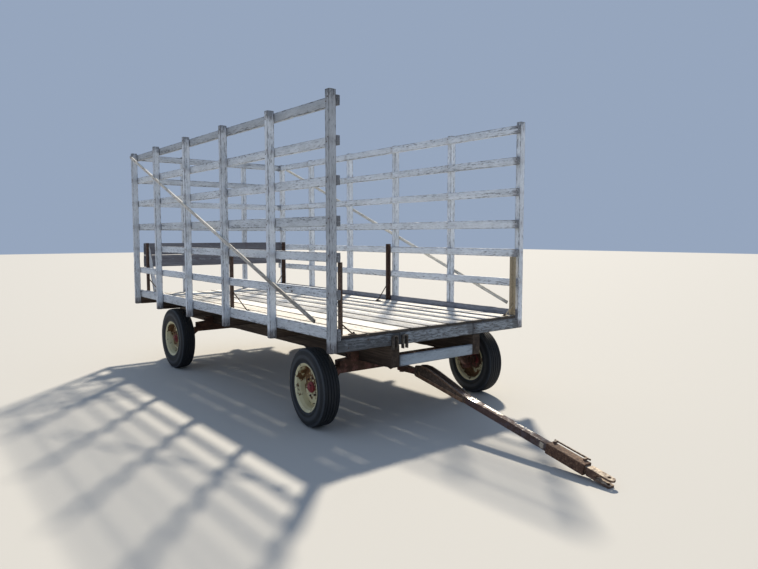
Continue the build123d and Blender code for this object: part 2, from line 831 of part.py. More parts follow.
# Four wheels: each hub turns on its spindle with its rim and tyre
wheel_places = []
for name, side in sides:
    frame = knuckle_frames[side]
    front_centre = frame.from_local_coords((0, side * kingpin_inset, front_wheel_radius))
    rear_centre = Vector(rear_axle_x, side * wheel_y, rear_wheel_radius)
    wheel_places.append((f"front_{name}", front_centre, frame.y_dir * side))
    wheel_places.append((f"rear_{name}", rear_centre, Vector(0, side, 0)))
for place, centre, outward in wheel_places:
    section = Plane(centre, x_dir=outward, z_dir=outward.cross(Vector(0, 0, 1)))
    for piece, profile in (("hub", hub_profile), ("rim", rim_profile), ("tyre", tyre_profile(centre.Z))):
        with BuildPart() as turned:
            with BuildSketch(section):
                with BuildLine():
                    Polyline(*profile, close=True)
                make_face()
            revolve(axis=Axis(centre, outward))
        write(f"{piece}_{place}", turned)

# Joint places, for whoever assembles the wagon
jaw_bore = tongue_frame.from_local_coords((tongue_length - hitch_bore_back, 0, 0))
for label, point in (
    ("bed front and rear", Vector(bed_front, bed_rear, deck_top)),
    ("axles", Vector(front_axle_x, rear_axle_x, beam_bottom)),
    ("eyes", Vector(upper_eye, lower_eye, eye_bottom)),
    ("stud", stud),
    ("hinge", hinge),
    ("down tongue", down_tongue * 1000),
    ("jaw bore", jaw_bore),
    ("jaw bore axis", tongue_frame.z_dir * 1000),
    ("front right wheel", wheel_places[0][1]),
    ("rear right wheel", wheel_places[1][1]),
):
    print(f"{label}: {point.X:.3f} {point.Y:.3f} {point.Z:.3f}")
print(f"droop {degrees(tongue_droop):.4f} degrees, overall {bed_length + tip_reach:.3f}")
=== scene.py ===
import json
import math
import random
from functools import partial

import bmesh
import bpy
from mathutils import Matrix, Vector, noise


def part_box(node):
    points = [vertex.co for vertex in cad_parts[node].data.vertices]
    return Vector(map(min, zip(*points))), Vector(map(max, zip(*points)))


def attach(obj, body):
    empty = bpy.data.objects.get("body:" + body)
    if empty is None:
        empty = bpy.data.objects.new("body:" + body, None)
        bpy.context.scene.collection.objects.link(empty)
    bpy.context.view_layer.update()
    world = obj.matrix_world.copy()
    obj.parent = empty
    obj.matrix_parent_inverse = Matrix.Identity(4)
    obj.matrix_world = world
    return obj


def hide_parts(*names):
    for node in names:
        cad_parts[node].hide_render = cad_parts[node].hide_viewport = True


# Hay wagon: a weathered bale rack and plank deck on a rusty running gear
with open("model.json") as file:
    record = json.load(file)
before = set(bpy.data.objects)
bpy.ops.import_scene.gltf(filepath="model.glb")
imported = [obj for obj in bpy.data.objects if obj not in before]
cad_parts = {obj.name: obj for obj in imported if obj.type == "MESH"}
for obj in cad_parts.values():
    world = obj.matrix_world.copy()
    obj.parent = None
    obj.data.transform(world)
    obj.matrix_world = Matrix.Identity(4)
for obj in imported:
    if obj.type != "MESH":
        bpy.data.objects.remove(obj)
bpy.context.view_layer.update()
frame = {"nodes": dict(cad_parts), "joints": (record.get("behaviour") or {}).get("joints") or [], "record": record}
nodes = frame["nodes"]
joints = {joint["name"]: joint for joint in frame["joints"]}
bodyOf = {node: body for body, members in frame["record"]["behaviour"]["bodies"].items() for node in members}
dice = random.Random(41)
upward = Vector((0, 0, 1))
print("frame loaded:", len(nodes), "nodes")


def linearColor(code):
    channels = [int(code[i:i + 2], 16) / 255 for i in (0, 2, 4)]
    return [c / 12.92 if c < 0.04045 else ((c + 0.055) / 1.055) ** 2.4 for c in channels] + [1]


# How far a value is from low to high, 0 to 1
def share(value, low, high):
    return min(1.0, max(0.0, (value - low) / (high - low)))


# Sockets are linked, hex codes and numbers are set
def feed(node, inputs):
    for name, value in inputs.items():
        if isinstance(value, bpy.types.NodeSocket):
            node.id_data.links.new(value, node.inputs[name])
        else:
            node.inputs[name].default_value = linearColor(value) if isinstance(value, str) else value


# Adds one shader node with its settings and links, and gives its output
def addNode(tree, kind, inputs, output=0, stops=None, **settings):
    node = tree.nodes.new("ShaderNode" + kind)
    for name, value in settings.items():
        setattr(node, name, value)
    if stops:
        while len(node.color_ramp.elements) < len(stops):
            node.color_ramp.elements.new(1)
        for element, (place, code) in zip(node.color_ramp.elements, stops):
            element.position = place
            element.color = linearColor(code)
    feed(node, inputs)
    return node.outputs[output]


def startMaterial(name):
    material = bpy.data.materials.new(name)
    material.use_nodes = True
    tree = material.node_tree
    return material, partial(addNode, tree), tree.nodes["Principled BSDF"]


# Sawn lumber left outdoors: long fibres, checks along the grain, and paint that holds in patches. Attribute grain
# gives metres along and across a board, and wear its tone, distance from its edge, nail rust and distance from its end
def agedWood(name, base, **changes):
    look = dict(base, **changes)
    material, add, shader = startMaterial(name)
    grain = add("Attribute", {}, "Vector", attribute_name="grain")
    wear = add("Attribute", {}, "Color", attribute_name="wear")
    ends = wear.node.outputs["Alpha"]
    tone = add("SeparateColor", {"Color": wear}, "Red")
    edge, rust = tone.node.outputs["Green"], tone.node.outputs["Blue"]
    # Length and width of each pattern's marks in millimetres, detail and roughness
    marks = {
        "fibres": (220, 6, 6, 0.65), "streaks": (1400, 45, 3, 0.6), "blotches": (260, 130, 4, 0.6),
        "chips": (60, 11, 7, 0.68), "checks": (520, 9, 3, 0.5), "flecks": (26, 7, 3, 0.7),
    }
    for mark, (lengthMm, widthMm, detail, roughness) in marks.items():
        scale = (1000 / lengthMm, 1000 / widthMm, 1000 / widthMm)
        place = add("Mapping", {"Vector": grain, "Scale": scale})
        marks[mark] = add("TexNoise", {"Vector": place, "Scale": 1.0, "Detail": detail, "Roughness": roughness})
    # What each mask reads, where it starts and ends, and its values there. Soil is drawn wider than it is, to show
    masks = {
        "streaked": (marks["streaks"], 0.4, 0.66, 0, 1), "inStreak": (marks["streaks"], 0.42, 0.5, 0, look["checks"]),
        "edgeLoss": (edge, 0.24, 0, 0, look["edgeLoss"]), "endLoss": (ends, 0.3, 0, 0, look["endLoss"]),
        "dirt": (marks["blotches"], 0.42, 0.72, 0, 0.6), "flecks": (marks["flecks"], 0.56, 0.7, 0, look["flecks"]),
        "soil": (edge, look["soilReach"], 0.02, 0, look["soil"]), "endSoilAndShade": (ends, 0.04, 0, 0, look["endSoilAndShade"]),
        "rustHold": (marks["fibres"], 0.35, 0.6, 0.1, 1), "shade": (tone, 0, 1, *look["tones"]),
    }
    for mask, (value, start, end, least, most) in masks.items():
        masks[mask] = add("MapRange", {"Value": value, "From Min": start, "From Max": end, "To Min": least,
                                       "To Max": most})
    stops = list(zip((0.32, 0.52, 0.7), look["fibres"].split()))
    wood = add("ValToRGB", {"Fac": marks["fibres"]}, stops=stops)
    wood = add("MixRGB", {"Fac": masks["streaked"], "Color1": wood, "Color2": look["streak"]})
    # Rows of thin dark checks follow the fibres
    offMiddle = add("Math", {0: marks["checks"], 1: 0.5}, operation="SUBTRACT")
    offMiddle = add("Math", {0: offMiddle}, operation="ABSOLUTE")
    checked = add("MapRange", {"Value": offMiddle, "From Min": 0.006, "From Max": 0.0})
    checked = add("Math", {0: checked, 1: masks["inStreak"]}, operation="MULTIPLY")
    # Paint goes first at the edges, at the ends and in streaks
    hold = add("Math", {0: marks["streaks"], 1: 0.5, 2: marks["chips"]}, operation="MULTIPLY_ADD")
    lost = add("Math", {0: masks["edgeLoss"], 1: masks["endLoss"]}, operation="ADD")
    hold = add("Math", {0: hold, 1: lost}, operation="SUBTRACT")
    bare = look["bare"] + 0.25
    painted = add("MapRange", {"Value": hold, "From Min": bare, "From Max": bare + 0.04})
    thick = add("MapRange", {"Value": hold, "From Min": bare, "From Max": bare + 0.2})
    fullPaint, thinPaint, dirtyPaint = look["paint"].split()
    paint = add("MixRGB", {"Fac": thick, "Color1": thinPaint, "Color2": fullPaint})
    paint = add("MixRGB", {"Fac": masks["dirt"], "Color1": paint, "Color2": dirtyPaint})
    color = add("MixRGB", {"Fac": painted, "Color1": wood, "Color2": paint})
    # Mildew in the pores, checks, soil along edges, soil and painted shade at the ends, and rust from the nails
    soil = add("Math", {0: masks["soil"], 1: masks["endSoilAndShade"]}, operation="MAXIMUM")
    stained = add("Math", {0: rust, 1: masks["rustHold"]}, operation="MULTIPLY")
    for amount, code in ((masks["flecks"], look["crack"]), (checked, look["crack"]), (soil, look["crack"]),
                         (stained, "5A3A26")):
        color = add("MixRGB", {"Fac": amount, "Color1": color, "Color2": code})
    shade = add("CombineColor", {channel: masks["shade"] for channel in ("Red", "Green", "Blue")})
    color = add("MixRGB", {"Fac": 1.0, "Color1": color, "Color2": shade}, blend_type="MULTIPLY")
    dullness = add("MapRange", {"Value": painted, "To Min": 0.88, "To Max": 0.66})
    height = add("Math", {0: painted, 1: 0.4, 2: marks["fibres"]}, operation="MULTIPLY_ADD")
    height = add("Math", {0: height, 1: checked}, operation="SUBTRACT")
    bump = add("Bump", {"Height": height, "Strength": 0.7, "Distance": 0.0016})
    feed(shader, {"Base Color": color, "Roughness": dullness, "Normal": bump, "Specular IOR Level": 0.25})
    return material


# Colours: fibres dark, middle and light; paint full, thin and dirty. Tones: a board's darkest and palest shade
rackPaint = {
    "fibres": "6C7076 8F949B A9AEB5", "streak": "83868A", "crack": "33353A",
    "paint": "DDE4EC C3CAD3 AFB5BB", "bare": 0.36, "edgeLoss": 0.14, "endLoss": 0.2, "checks": 0.5,
    "flecks": 0.28, "soil": 0.25, "soilReach": 0.14, "endSoilAndShade": 0.3, "tones": (0.84, 1.04),
}
deckPlanks = dict(
    rackPaint, fibres="B3AEA6 DAD8D3 F2F0EB", streak="CAC4B9", crack="3A3531",
    paint="F4F2EE E2DFD8 CFC9BF", bare=0.44, edgeLoss=0.2, checks=0.7, flecks=0.15, soil=0.9,
    soilReach=0.56, endSoilAndShade=0.95, tones=(0.8, 1.08))
headerTimber = dict(
    rackPaint, fibres="4D4F51 72767B 8E9398", streak="606265", crack="24211F",
    paint="A3ACB5 878F97 727577", bare=0.48, tones=(0.55, 1.05))
# Brushed paint on sawn fir: chalky blue-white, flaked to grey fibres along edges and ends
paintedFir = agedWood("flaked-white-paint-on-sawn-fir", rackPaint)
# The same on the sides, where the boards run from dull to bright; the wider run carries painted shade on the right
# side and painted light on the left
sideFirWithPaintedLight = agedWood("flaked-white-paint-on-rack-boards-with-painted-light", rackPaint, tones=(0.6, 1.2))
# Planed pine bleached by sun: nearly white, dark with soil along gaps, and with soil and painted shade on the ends
bleachedPine = agedWood("sun-bleached-pine-planks", deckPlanks)
# Pine trodden on the loading side: warmer and cleaner
creamPine = agedWood(
    "trodden-cream-pine-planks", deckPlanks, fibres="B3AEA6 D6CFC2 F2F0EB", streak="C2B8A8",
    paint="EDE8DE E2DFD8 CFC9BF", soil=0.5, soilReach=0.3)
# Paint darkened as painted shade: dull blue-grey with near-black cracks
shadedEdgeBoardFir = agedWood(
    "blue-grey-paint-on-fir-with-painted-shade", rackPaint, fibres="6C7076 6A6C74 A9AEB5", crack="232226",
    paint="959BA8 7C828E 6A6D75", bare=0.42, edgeLoss=0.3)
# Rough oak silvered by rain, with rests of grey paint
greyOak = agedWood("weathered-grey-oak", headerTimber)
# Oak that stays dry under the deck: bare, brown and coarse
darkOak = agedWood(
    "dark-rough-sawn-oak", headerTimber, fibres="352C26 5F5146 7B6C5E", streak="3D332C", bare=0.9,
    tones=(0.8, 1.05))
# Planks that never had much paint: an even mid grey
greyPlank = agedWood(
    "bare-grey-planks", rackPaint, fibres="55565C 77787F 92939A", streak="64636A", paint="8F939E 7C7F88 6E6F76",
    bare=0.6, soil=0.4, tones=(0.9, 1.06))
# A thin batten: brown wood at its foot, pale paint above; the darker foot is partly painted shade
battenWithPaintedShade = agedWood(
    "bare-brown-batten-with-painted-shade", rackPaint, fibres="6E6862 9B958E B7B2AC", streak="8A847D", paint="DCD9D2 B9B5AE A39E97",
    bare=0.42, edgeLoss=-0.1, tones=(0.5, 1.16))
# Its fellow on the sunny side: cream all along, its paleness painted sunlight
battenWithPaintedSunlight = agedWood(
    "cream-batten-with-painted-sunlight", rackPaint, fibres="8E887C B9B3A6 D6D1C6", paint="E8E6DE D2CEC4 AFB5BB")
# A younger coat, still closed: smooth pale blue-grey
spreaderPaint = agedWood("pale-blue-grey-paint-on-fir", rackPaint, paint="AEBAC5 929EA8 8D959B", bare=0.3)


# Steel: paint, where it has any, rust in patches, dust on top and rubbed places. Attribute wear adds rust,
# rubbing and grime
def agedSteel(name, base, **changes):
    look = dict(base, **changes)
    material, add, shader = startMaterial(name)
    place = add("TexCoord", {}, "Object")
    wear = add("Attribute", {}, "Color", attribute_name="wear")
    corroded = add("SeparateColor", {"Color": wear}, "Red")
    rubbed, grime = corroded.node.outputs["Green"], corroded.node.outputs["Blue"]
    # Size of each pattern's marks in millimetres, detail and roughness
    marks = {"patches": (look["patch"], 7, 0.65), "specks": (9, 4, 0.7), "broad": (420, 3, 0.6)}
    for mark, (sizeMm, detail, roughness) in marks.items():
        marks[mark] = add("TexNoise", {"Vector": place, "Scale": 1000 / sizeMm, "Detail": detail,
                                       "Roughness": roughness})
    mixed = add("Mix", {0: 0.4, 2: marks["patches"], 3: marks["specks"]})
    rust = add("ValToRGB", {"Fac": mixed}, stops=list(zip((0.3, 0.5, 0.68), look["rust"].split())))
    hold = add("Math", {0: marks["broad"], 1: 0.7, 2: marks["patches"]}, operation="MULTIPLY_ADD")
    hold = add("Math", {0: marks["specks"], 1: 0.2, 2: hold}, operation="MULTIPLY_ADD")
    hold = add("Math", {0: hold, 1: corroded}, operation="SUBTRACT")
    bare = look["bare"] + 0.45
    painted = add("MapRange", {"Value": hold, "From Min": bare, "From Max": bare + 0.03})
    faded = add("MapRange", {"Value": marks["broad"], "From Min": 0.35, "From Max": 0.7})
    fullPaint, fadedPaint = look["paint"].split()
    paint = add("MixRGB", {"Fac": faded, "Color1": fullPaint, "Color2": fadedPaint})
    color = add("MixRGB", {"Fac": painted, "Color1": rust, "Color2": paint})
    # Dust lies on what faces up; on the clevis its pale top is also painted sunlight
    normal = add("NewGeometry", {}, "Normal")
    facing = add("SeparateXYZ", {"Vector": normal}, "Z")
    facing = add("MapRange", {"Value": facing, "From Min": 0.4, "From Max": 1.0, "To Max": look["dust"]})
    settled = add("MapRange", {"Value": marks["patches"], "From Min": 0.35, "From Max": 0.6})
    dust = add("Math", {0: facing, 1: settled}, operation="MULTIPLY")
    worn = add("Math", {0: marks["specks"], 1: 0.5}, operation="SUBTRACT")
    worn = add("Math", {0: worn, 1: 1.2, 2: rubbed}, operation="MULTIPLY_ADD")
    worn = add("MapRange", {"Value": worn, "From Min": 0.3, "From Max": 0.6})
    for amount, code in ((dust, look["dustColor"]), (worn, look["rubbed"]), (grime, "1C1816")):
        color = add("MixRGB", {"Fac": amount, "Color1": color, "Color2": code})
    dullness = add("MapRange", {"Value": painted, "To Min": 0.82, "To Max": look["gloss"]})
    # Steel rubbed to the metal is smooth and mirrors light
    if look["bright"]:
        feed(shader, {"Metallic": worn})
        dullness = add("Math", {0: worn, 1: -0.42, 2: dullness}, operation="MULTIPLY_ADD")
    height = add("Math", {0: painted, 1: 0.8, 2: marks["specks"]}, operation="MULTIPLY_ADD")
    bump = add("Bump", {"Height": height, "Strength": 0.5, "Distance": 0.0012})
    feed(shader, {"Base Color": color, "Roughness": dullness, "Normal": bump})
    return material


# Colours: rust dark, middle and light; paint full and faded. Steel whose bare is 2 has no paint left
gearLook = {
    "patch": 70, "rust": "2E201A 54392C 7C5A45", "paint": "68382F 7B5348", "bare": 0.54,
    "dust": 0.4, "dustColor": "85796A", "gloss": 0.55, "rubbed": "B9B4AC", "bright": False,
}
bareLook = dict(gearLook, bare=2.0)
# Brushed enamel on rolled steel: matt brick red with large patches of brown rust
gearRed = agedSteel("faded-red-enamel-on-rusty-steel", gearLook)
# Rolled tube handled for years: satin purple-brown, silvery where it is rubbed; the rubbed stretches on its top are
# partly a painted highlight
tubeSteel = agedSteel(
    "purple-brown-drawbar-steel", gearLook, patch=45, rust="382B2A 5A4540 7B6156", paint="4F4146 5C4D53", bare=0.5,
    dust=0.22, dustColor="857870", gloss=0.42, rubbed="C9C6C0", bright=True)
# Flame-cut plate: light brown rust with pale dust on top
houndSteel = agedSteel(
    "brown-rusted-plate", gearLook, patch=38, rust="4A362A 7D5F49 A98A6B", bare=0.68, dust=0.6, dustColor="B9AA90",
    rubbed="C6BBA6")
# Forged steel: rust in scales the size of a thumbnail, dark between them
sleeveSteel = agedSteel(
    "flaking-rust-on-forged-steel", bareLook, patch=20, rust="2A1D18 553B2D 96775E", dust=0.3, dustColor="9A866E",
    rubbed="DDD3BF")
# A clevis worn by its pin: brown on its sides, nearly cream from above, which is dust and painted sunlight
clevisWithPaintedSunlitTop = agedSteel(
    "clevis-steel-with-painted-sunlit-top", bareLook, patch=30, rust="382A23 624A3C 9C836D", dust=0.9, dustColor="DCCDB6",
    rubbed="E9DFCF")
# Plate behind old grease: dark and mottled, its darkness partly painted shade
houndGreaseAndShade = agedSteel(
    "greased-plate-with-painted-shade", bareLook, patch=24, rust="251E1A 554539 8A7462", dust=0.5, dustColor="93867A")
# Rolled angle: chocolate rust, straw-coloured where it has weathered pale
ironRust = agedSteel(
    "rusted-angle-iron", bareLook, patch=35, rust="261D1A 46352D 6B5243", dust=0.25, rubbed="B0A288")
# Bent flat strap: grey mill scale over dark rust
strapSteel = agedSteel("grey-weathered-strap", bareLook, patch=30, rust="2A2522 4B443E 8A8579", dust=0.2)
# Enamel on pressed steel: dull cream, with orange-brown rust at the bolts
rimCream = agedSteel(
    "cream-enamel-on-pressed-steel", gearLook, patch=48, rust="3A2A1A 6E4E2C A37E45", paint="D8D5B2 C6BA90",
    bare=0.35, dust=0.1)
# Enamel on cast iron: deep red
hubRed = agedSteel("red-enamel-on-cast-iron", gearLook, patch=30, paint="7C2329 8A3539", bare=0.42)
# Nuts and nails: small dark brown dots
fastenerLook = dict(bareLook, rust="1E1613 3A2A22 7C5A45")
nutRust = agedSteel("rust-brown-nuts", fastenerLook, patch=14)
nailRust = agedSteel("rusted-nail-heads", fastenerLook, patch=6)


# Moulded rubber: blue-black where it is rubbed, brown-grey where soil has dried, and blue-grey on the scuffed
# shoulders and rings, which is partly a painted sheen
def tyreRubber(look):
    material, add, shader = startMaterial("cracked-tyre-rubber")
    place = add("TexCoord", {}, "Object")
    soil = add("TexNoise", {"Vector": place, "Scale": 1000 / look["soilMm"], "Detail": 6.0})
    cracks = add("TexNoise", {"Vector": place, "Scale": 1000 / look["crackMm"], "Detail": 5.0})
    amount = add("MapRange", {"Value": soil, "From Min": 0.45, "From Max": 0.75, "To Max": look["soil"]})
    color = add("MixRGB", {"Fac": amount, "Color1": look["rubber"], "Color2": look["soilColor"]})
    wear = add("Attribute", {}, "Color", attribute_name="wear")
    # Scuffs, partly a painted sheen
    scuffedAndSheen = add("SeparateColor", {"Color": wear}, "Green")
    scuffedAndSheen = add("Math", {0: scuffedAndSheen, 1: cracks}, operation="MULTIPLY")
    color = add("MixRGB", {"Fac": scuffedAndSheen, "Color1": color, "Color2": look["scuffAndSheen"]})
    bump = add("Bump", {"Height": cracks, "Strength": 0.4, "Distance": 0.001})
    feed(shader, {"Base Color": color, "Roughness": 0.72, "Normal": bump})
    return material


rubber = tyreRubber({"soilMm": 90, "crackMm": 6, "soil": 0.35, "rubber": "11161C", "soilColor": "302F2C",
                     "scuffAndSheen": "6E7680"})
print("materials made")


def meshOf(bm, name):
    mesh = bpy.data.meshes.new(name)
    bm.to_mesh(mesh)
    bm.free()
    return mesh


def addObject(name, data):
    thing = bpy.data.objects.new(name, data)
    bpy.context.scene.collection.objects.link(thing)
    return thing


# A bmesh becomes a piece that rides on its body in place of its nodes
def finishPiece(bm, name, body, material, slotName, *replaced, smoothAngle=None):
    if smoothAngle:
        for face in bm.faces:
            face.smooth = True
        for edge in bm.edges:
            edge.smooth = edge.calc_face_angle(0) < smoothAngle
    piece = addObject(name, meshOf(bm, name))
    piece.data.materials.append(material)
    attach(piece, body)
    if replaced:
        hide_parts(*replaced)


def mergedCopy(node):
    bm = bmesh.new()
    bm.from_mesh(nodes[node].data)
    bmesh.ops.remove_doubles(bm, verts=bm.verts, dist=0.00001)
    return bm


# The solids of a node: lowest and highest corner, and the way its longest sharp edge runs
def solidsOf(node):
    bm = mergedCopy(node)
    solids, seen = [], set()
    for first in bm.verts:
        if first in seen:
            continue
        seen.add(first)
        group, queue = [], [first]
        while queue:
            vert = queue.pop()
            group.append(vert)
            for edge in vert.link_edges:
                other = edge.other_vert(vert)
                if other not in seen:
                    seen.add(other)
                    queue.append(other)
        low = Vector([min(v.co[i] for v in group) for i in range(3)])
        high = Vector([max(v.co[i] for v in group) for i in range(3)])
        edges = {e for v in group for e in v.link_edges if e.calc_face_angle(0) > 0.5}
        longest = max(edges, key=lambda e: e.calc_length())
        run = (longest.verts[1].co - longest.verts[0].co).normalized()
        solids.append((low, high, run))
    bm.free()
    return solids


# Eases the edges that are sharper than an angle in radians
def easeEdges(bm, offset, sharp=-1):
    edges = [edge for edge in bm.edges if edge.calc_face_angle(0) > sharp]
    bmesh.ops.bevel(bm, geom=edges, offset=offset, segments=2, affect="EDGES", profile=0.5, material=-1,
                    clamp_overlap=True)


def cutThrough(bm, spot, normal):
    bmesh.ops.bisect_plane(bm, geom=bm.verts[:] + bm.edges[:] + bm.faces[:], plane_co=spot, plane_no=normal)


# Metres; nailRust is the most stain at a nail
boardLook = {
    "edgeRound": 0.003, "ringPitch": 0.034, "acrossPitch": 0.03, "waver": 0.0012, "shave": 0.0008,
    "roughness": 0.0005, "chip": 0.004, "endUneven": 0.004, "endLean": 0.06, "cup": 0.0, "splinter": 0.0,
    "nailRust": 0.35, "rustReach": 0.035, "edgeReach": 0.05, "endReach": 0.3,
}


# One sawn board, length along x and width along y, turned into place
def sawBoard(size, place, look, nailSpots=(), steps=None, slope=0.0, tone=None):
    length, width, thick = size
    bm = bmesh.new()
    grainLayer = bm.verts.layers.float_vector.new("grain")
    wearLayer = bm.verts.layers.float_color.new("wear")
    bmesh.ops.create_cube(bm, size=1, matrix=Matrix.Diagonal((length, width, thick, 1)))
    easeEdges(bm, look["edgeRound"])
    for axis, pitch in ((0, look["ringPitch"]), (1, look["acrossPitch"]), (2, look["acrossPitch"])):
        runs = [e for e in bm.edges if abs(e.verts[0].co[axis] - e.verts[1].co[axis]) > 0.8 * size[axis]]
        cuts = 2 * max(1, round(size[axis] / pitch / 2)) - 1
        bmesh.ops.subdivide_edges(bm, edges=runs, cuts=cuts, use_grid_fill=True)
    if steps:
        ends, reach, drop = steps
        for end in ends:
            for cut in (length / 2 - reach, length / 2 - reach - 0.0006):
                cutThrough(bm, (end * cut, 0, 0), (1, 0, 0))
    tone, seed = dice.random() if tone is None else tone, dice.uniform(0, 400)
    lean = look["endLean"]
    leans = [(dice.uniform(-lean, lean), dice.uniform(0, look["endUneven"])) for _ in range(2)]
    cup = look["cup"] * dice.choice((-1, 1)) * dice.uniform(0.4, 1)
    for vert in bm.verts:
        along, across, deep = vert.co
        fromEdge = (width / 2 - abs(across)) + (thick / 2 - abs(deep))
        fromEnd = length / 2 - abs(along)
        rust = max([0.0] + [1 - abs(along - spot) / look["rustReach"] for spot in nailSpots])
        vert[grainLayer] = (along + seed, across + seed / 7, deep + seed / 11)
        vert[wearLayer] = (tone, share(fromEdge, 0, look["edgeReach"]), look["nailRust"] * rust,
                           share(fromEnd, 0, look["endReach"]))
        # The section wavers slowly, faces are a little rough and edges are chipped here and there
        slow = 0.8 * along + seed
        shift = Vector((0, noise.noise(Vector((slow, 3, 7))), noise.noise(Vector((slow, 11, 5))))) * look["waver"]
        rough = noise.noise(Vector((along * 18 + seed, across * 40, deep * 40))) * look["roughness"]
        shrink = look["waver"] + look["shave"]
        newAcross = across * (1 - 2 * shrink / width) + shift.y
        newDeep = deep * (1 - 2 * min(shrink, 0.0016) / thick) + shift.z * 0.4
        newDeep += cup * (across * across / (width * width) * 4 - 0.5)
        if fromEdge < look["edgeRound"] * 1.6:
            bite = noise.noise(Vector((along * 9 + seed, across * 6, deep * 6))) - 0.25
            push = max(0, bite) * look["chip"] * 2
            newAcross -= math.copysign(push, across)
            newDeep -= math.copysign(push * 0.6, deep)
        newAlong = along
        if fromEnd < 0.03:
            lean, short = leans[along > 0]
            newAlong -= math.copysign(short + abs(lean * across) + rough * 2, along)
        if look["splinter"] and along < 0.002 - length / 2:
            # Fibres tore at different lengths
            torn = noise.noise(Vector((across * 60, deep * 45, seed)))
            newAlong += look["splinter"] * max(0.0, 0.45 + torn)
        if steps and any(end * along > length / 2 - reach - 0.0003 for end in ends):
            newAcross = min(newAcross, width / 2 - drop - 0.0005)
        vert.co = (newAlong + slope * newAcross, newAcross, newDeep + rough)
    if steps:
        bmesh.ops.dissolve_degenerate(bm, dist=0.00005, edges=bm.edges)
    bm.transform(place)
    for face in bm.faces:
        face.smooth = True
    return bm


# Gathers boards into one bmesh
def collect(parts):
    whole = bmesh.new()
    whole.verts.layers.float_vector.new("grain")
    whole.verts.layers.float_color.new("wear")
    for part in parts:
        mesh = meshOf(part, "part")
        whole.from_mesh(mesh)
        bpy.data.meshes.remove(mesh)
    return whole


# A frame from its origin and the ways that its x and y point
def frameAt(place, x, y):
    return Matrix.Translation(place) @ Matrix((x, y, x.cross(y))).transposed().to_4x4()


# Size, frame and longest axis of a board: x is its length, y its width
def boardPlace(low, high):
    size = high - low
    order = sorted(range(3), key=lambda axis: -size[axis])
    x, y = [Vector([float(i == axis) for i in range(3)]) for axis in order[:2]]
    return [size[axis] for axis in order], frameAt((low + high) / 2, x, y), order[0]


# A board in a solid's place, with nail rust where it crosses others
def boardAt(low, high, look, crossings=(), **more):
    size, place, axis = boardPlace(low, high)
    middle = (low[axis] + high[axis]) / 2
    return sawBoard(size, place, look, [spot - middle for spot in crossings], **more)


def boardPiece(node, look, material, slotName, crossings=(), name=None):
    boards = [boardAt(low, high, look, crossings) for low, high, _ in solidsOf(node)]
    finishPiece(collect(boards), name or node.replace("_", "-"), "wagon", material, slotName, node)


# Radius and height in metres, and number of sides
heads = {
    "nail": (0.006, 0.0022, 10), "stakeBolt": (0.012, 0.009, 6), "headerBolt": (0.011, 0.0028, 12),
    "railBolt": (0.0105, 0.005, 8), "footBolt": (0.015, 0.015, 6), "wheelNut": (0.012, 0.015, 6),
    "pinWasher": (0.024, 0.004, 20), "kingpinCap": (0.022, 0.008, 24), "kingpinNut": (0.018, 0.01, 6),
    "studNut": (0.016, 0.0072, 6),
}


def addRod(bm, segments, foot, tip, depth, matrix):
    bmesh.ops.create_cone(bm, cap_ends=True, segments=segments, radius1=foot, radius2=tip, depth=depth,
                          matrix=matrix)


# Nail, bolt and nut heads: a low dome on a washer's edge
def addHead(bm, place, normal, kind):
    radius, height, segments = heads[kind]
    seat = Matrix.Translation(place) @ Vector(normal).to_track_quat("Z", "Y").to_matrix().to_4x4()
    for reach, low, high in ((1.0, 0.0, 0.45), (0.72, 0.4, 1.0)):
        middle = seat @ Matrix.Translation((0, 0, height * (low + high) / 2))
        addRod(bm, segments, radius * reach, radius * reach * 0.78, height * (high - low), middle)


postBoxes = {side: solidsOf("side_posts_" + side) for side in ("right", "left")}
railBoxes = {side: solidsOf("side_rails_" + side) for side in ("right", "left")}
postPlaces = sorted(round((low.x + high.x) / 2, 5) for low, high, _ in postBoxes["right"])
sillPlaces = sorted(round((low.x + high.x) / 2, 5) for low, high, _ in solidsOf("cross_sills"))
headerLow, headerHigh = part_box("front_header")
sillPlaces.append((headerLow.x + headerHigh.x) / 2)
sides = {"right": -1, "left": 1}

# Rack sides
rackLook = dict(boardLook, waver=0.0016)
tornLook = dict(rackLook, splinter=0.06, acrossPitch=0.007)
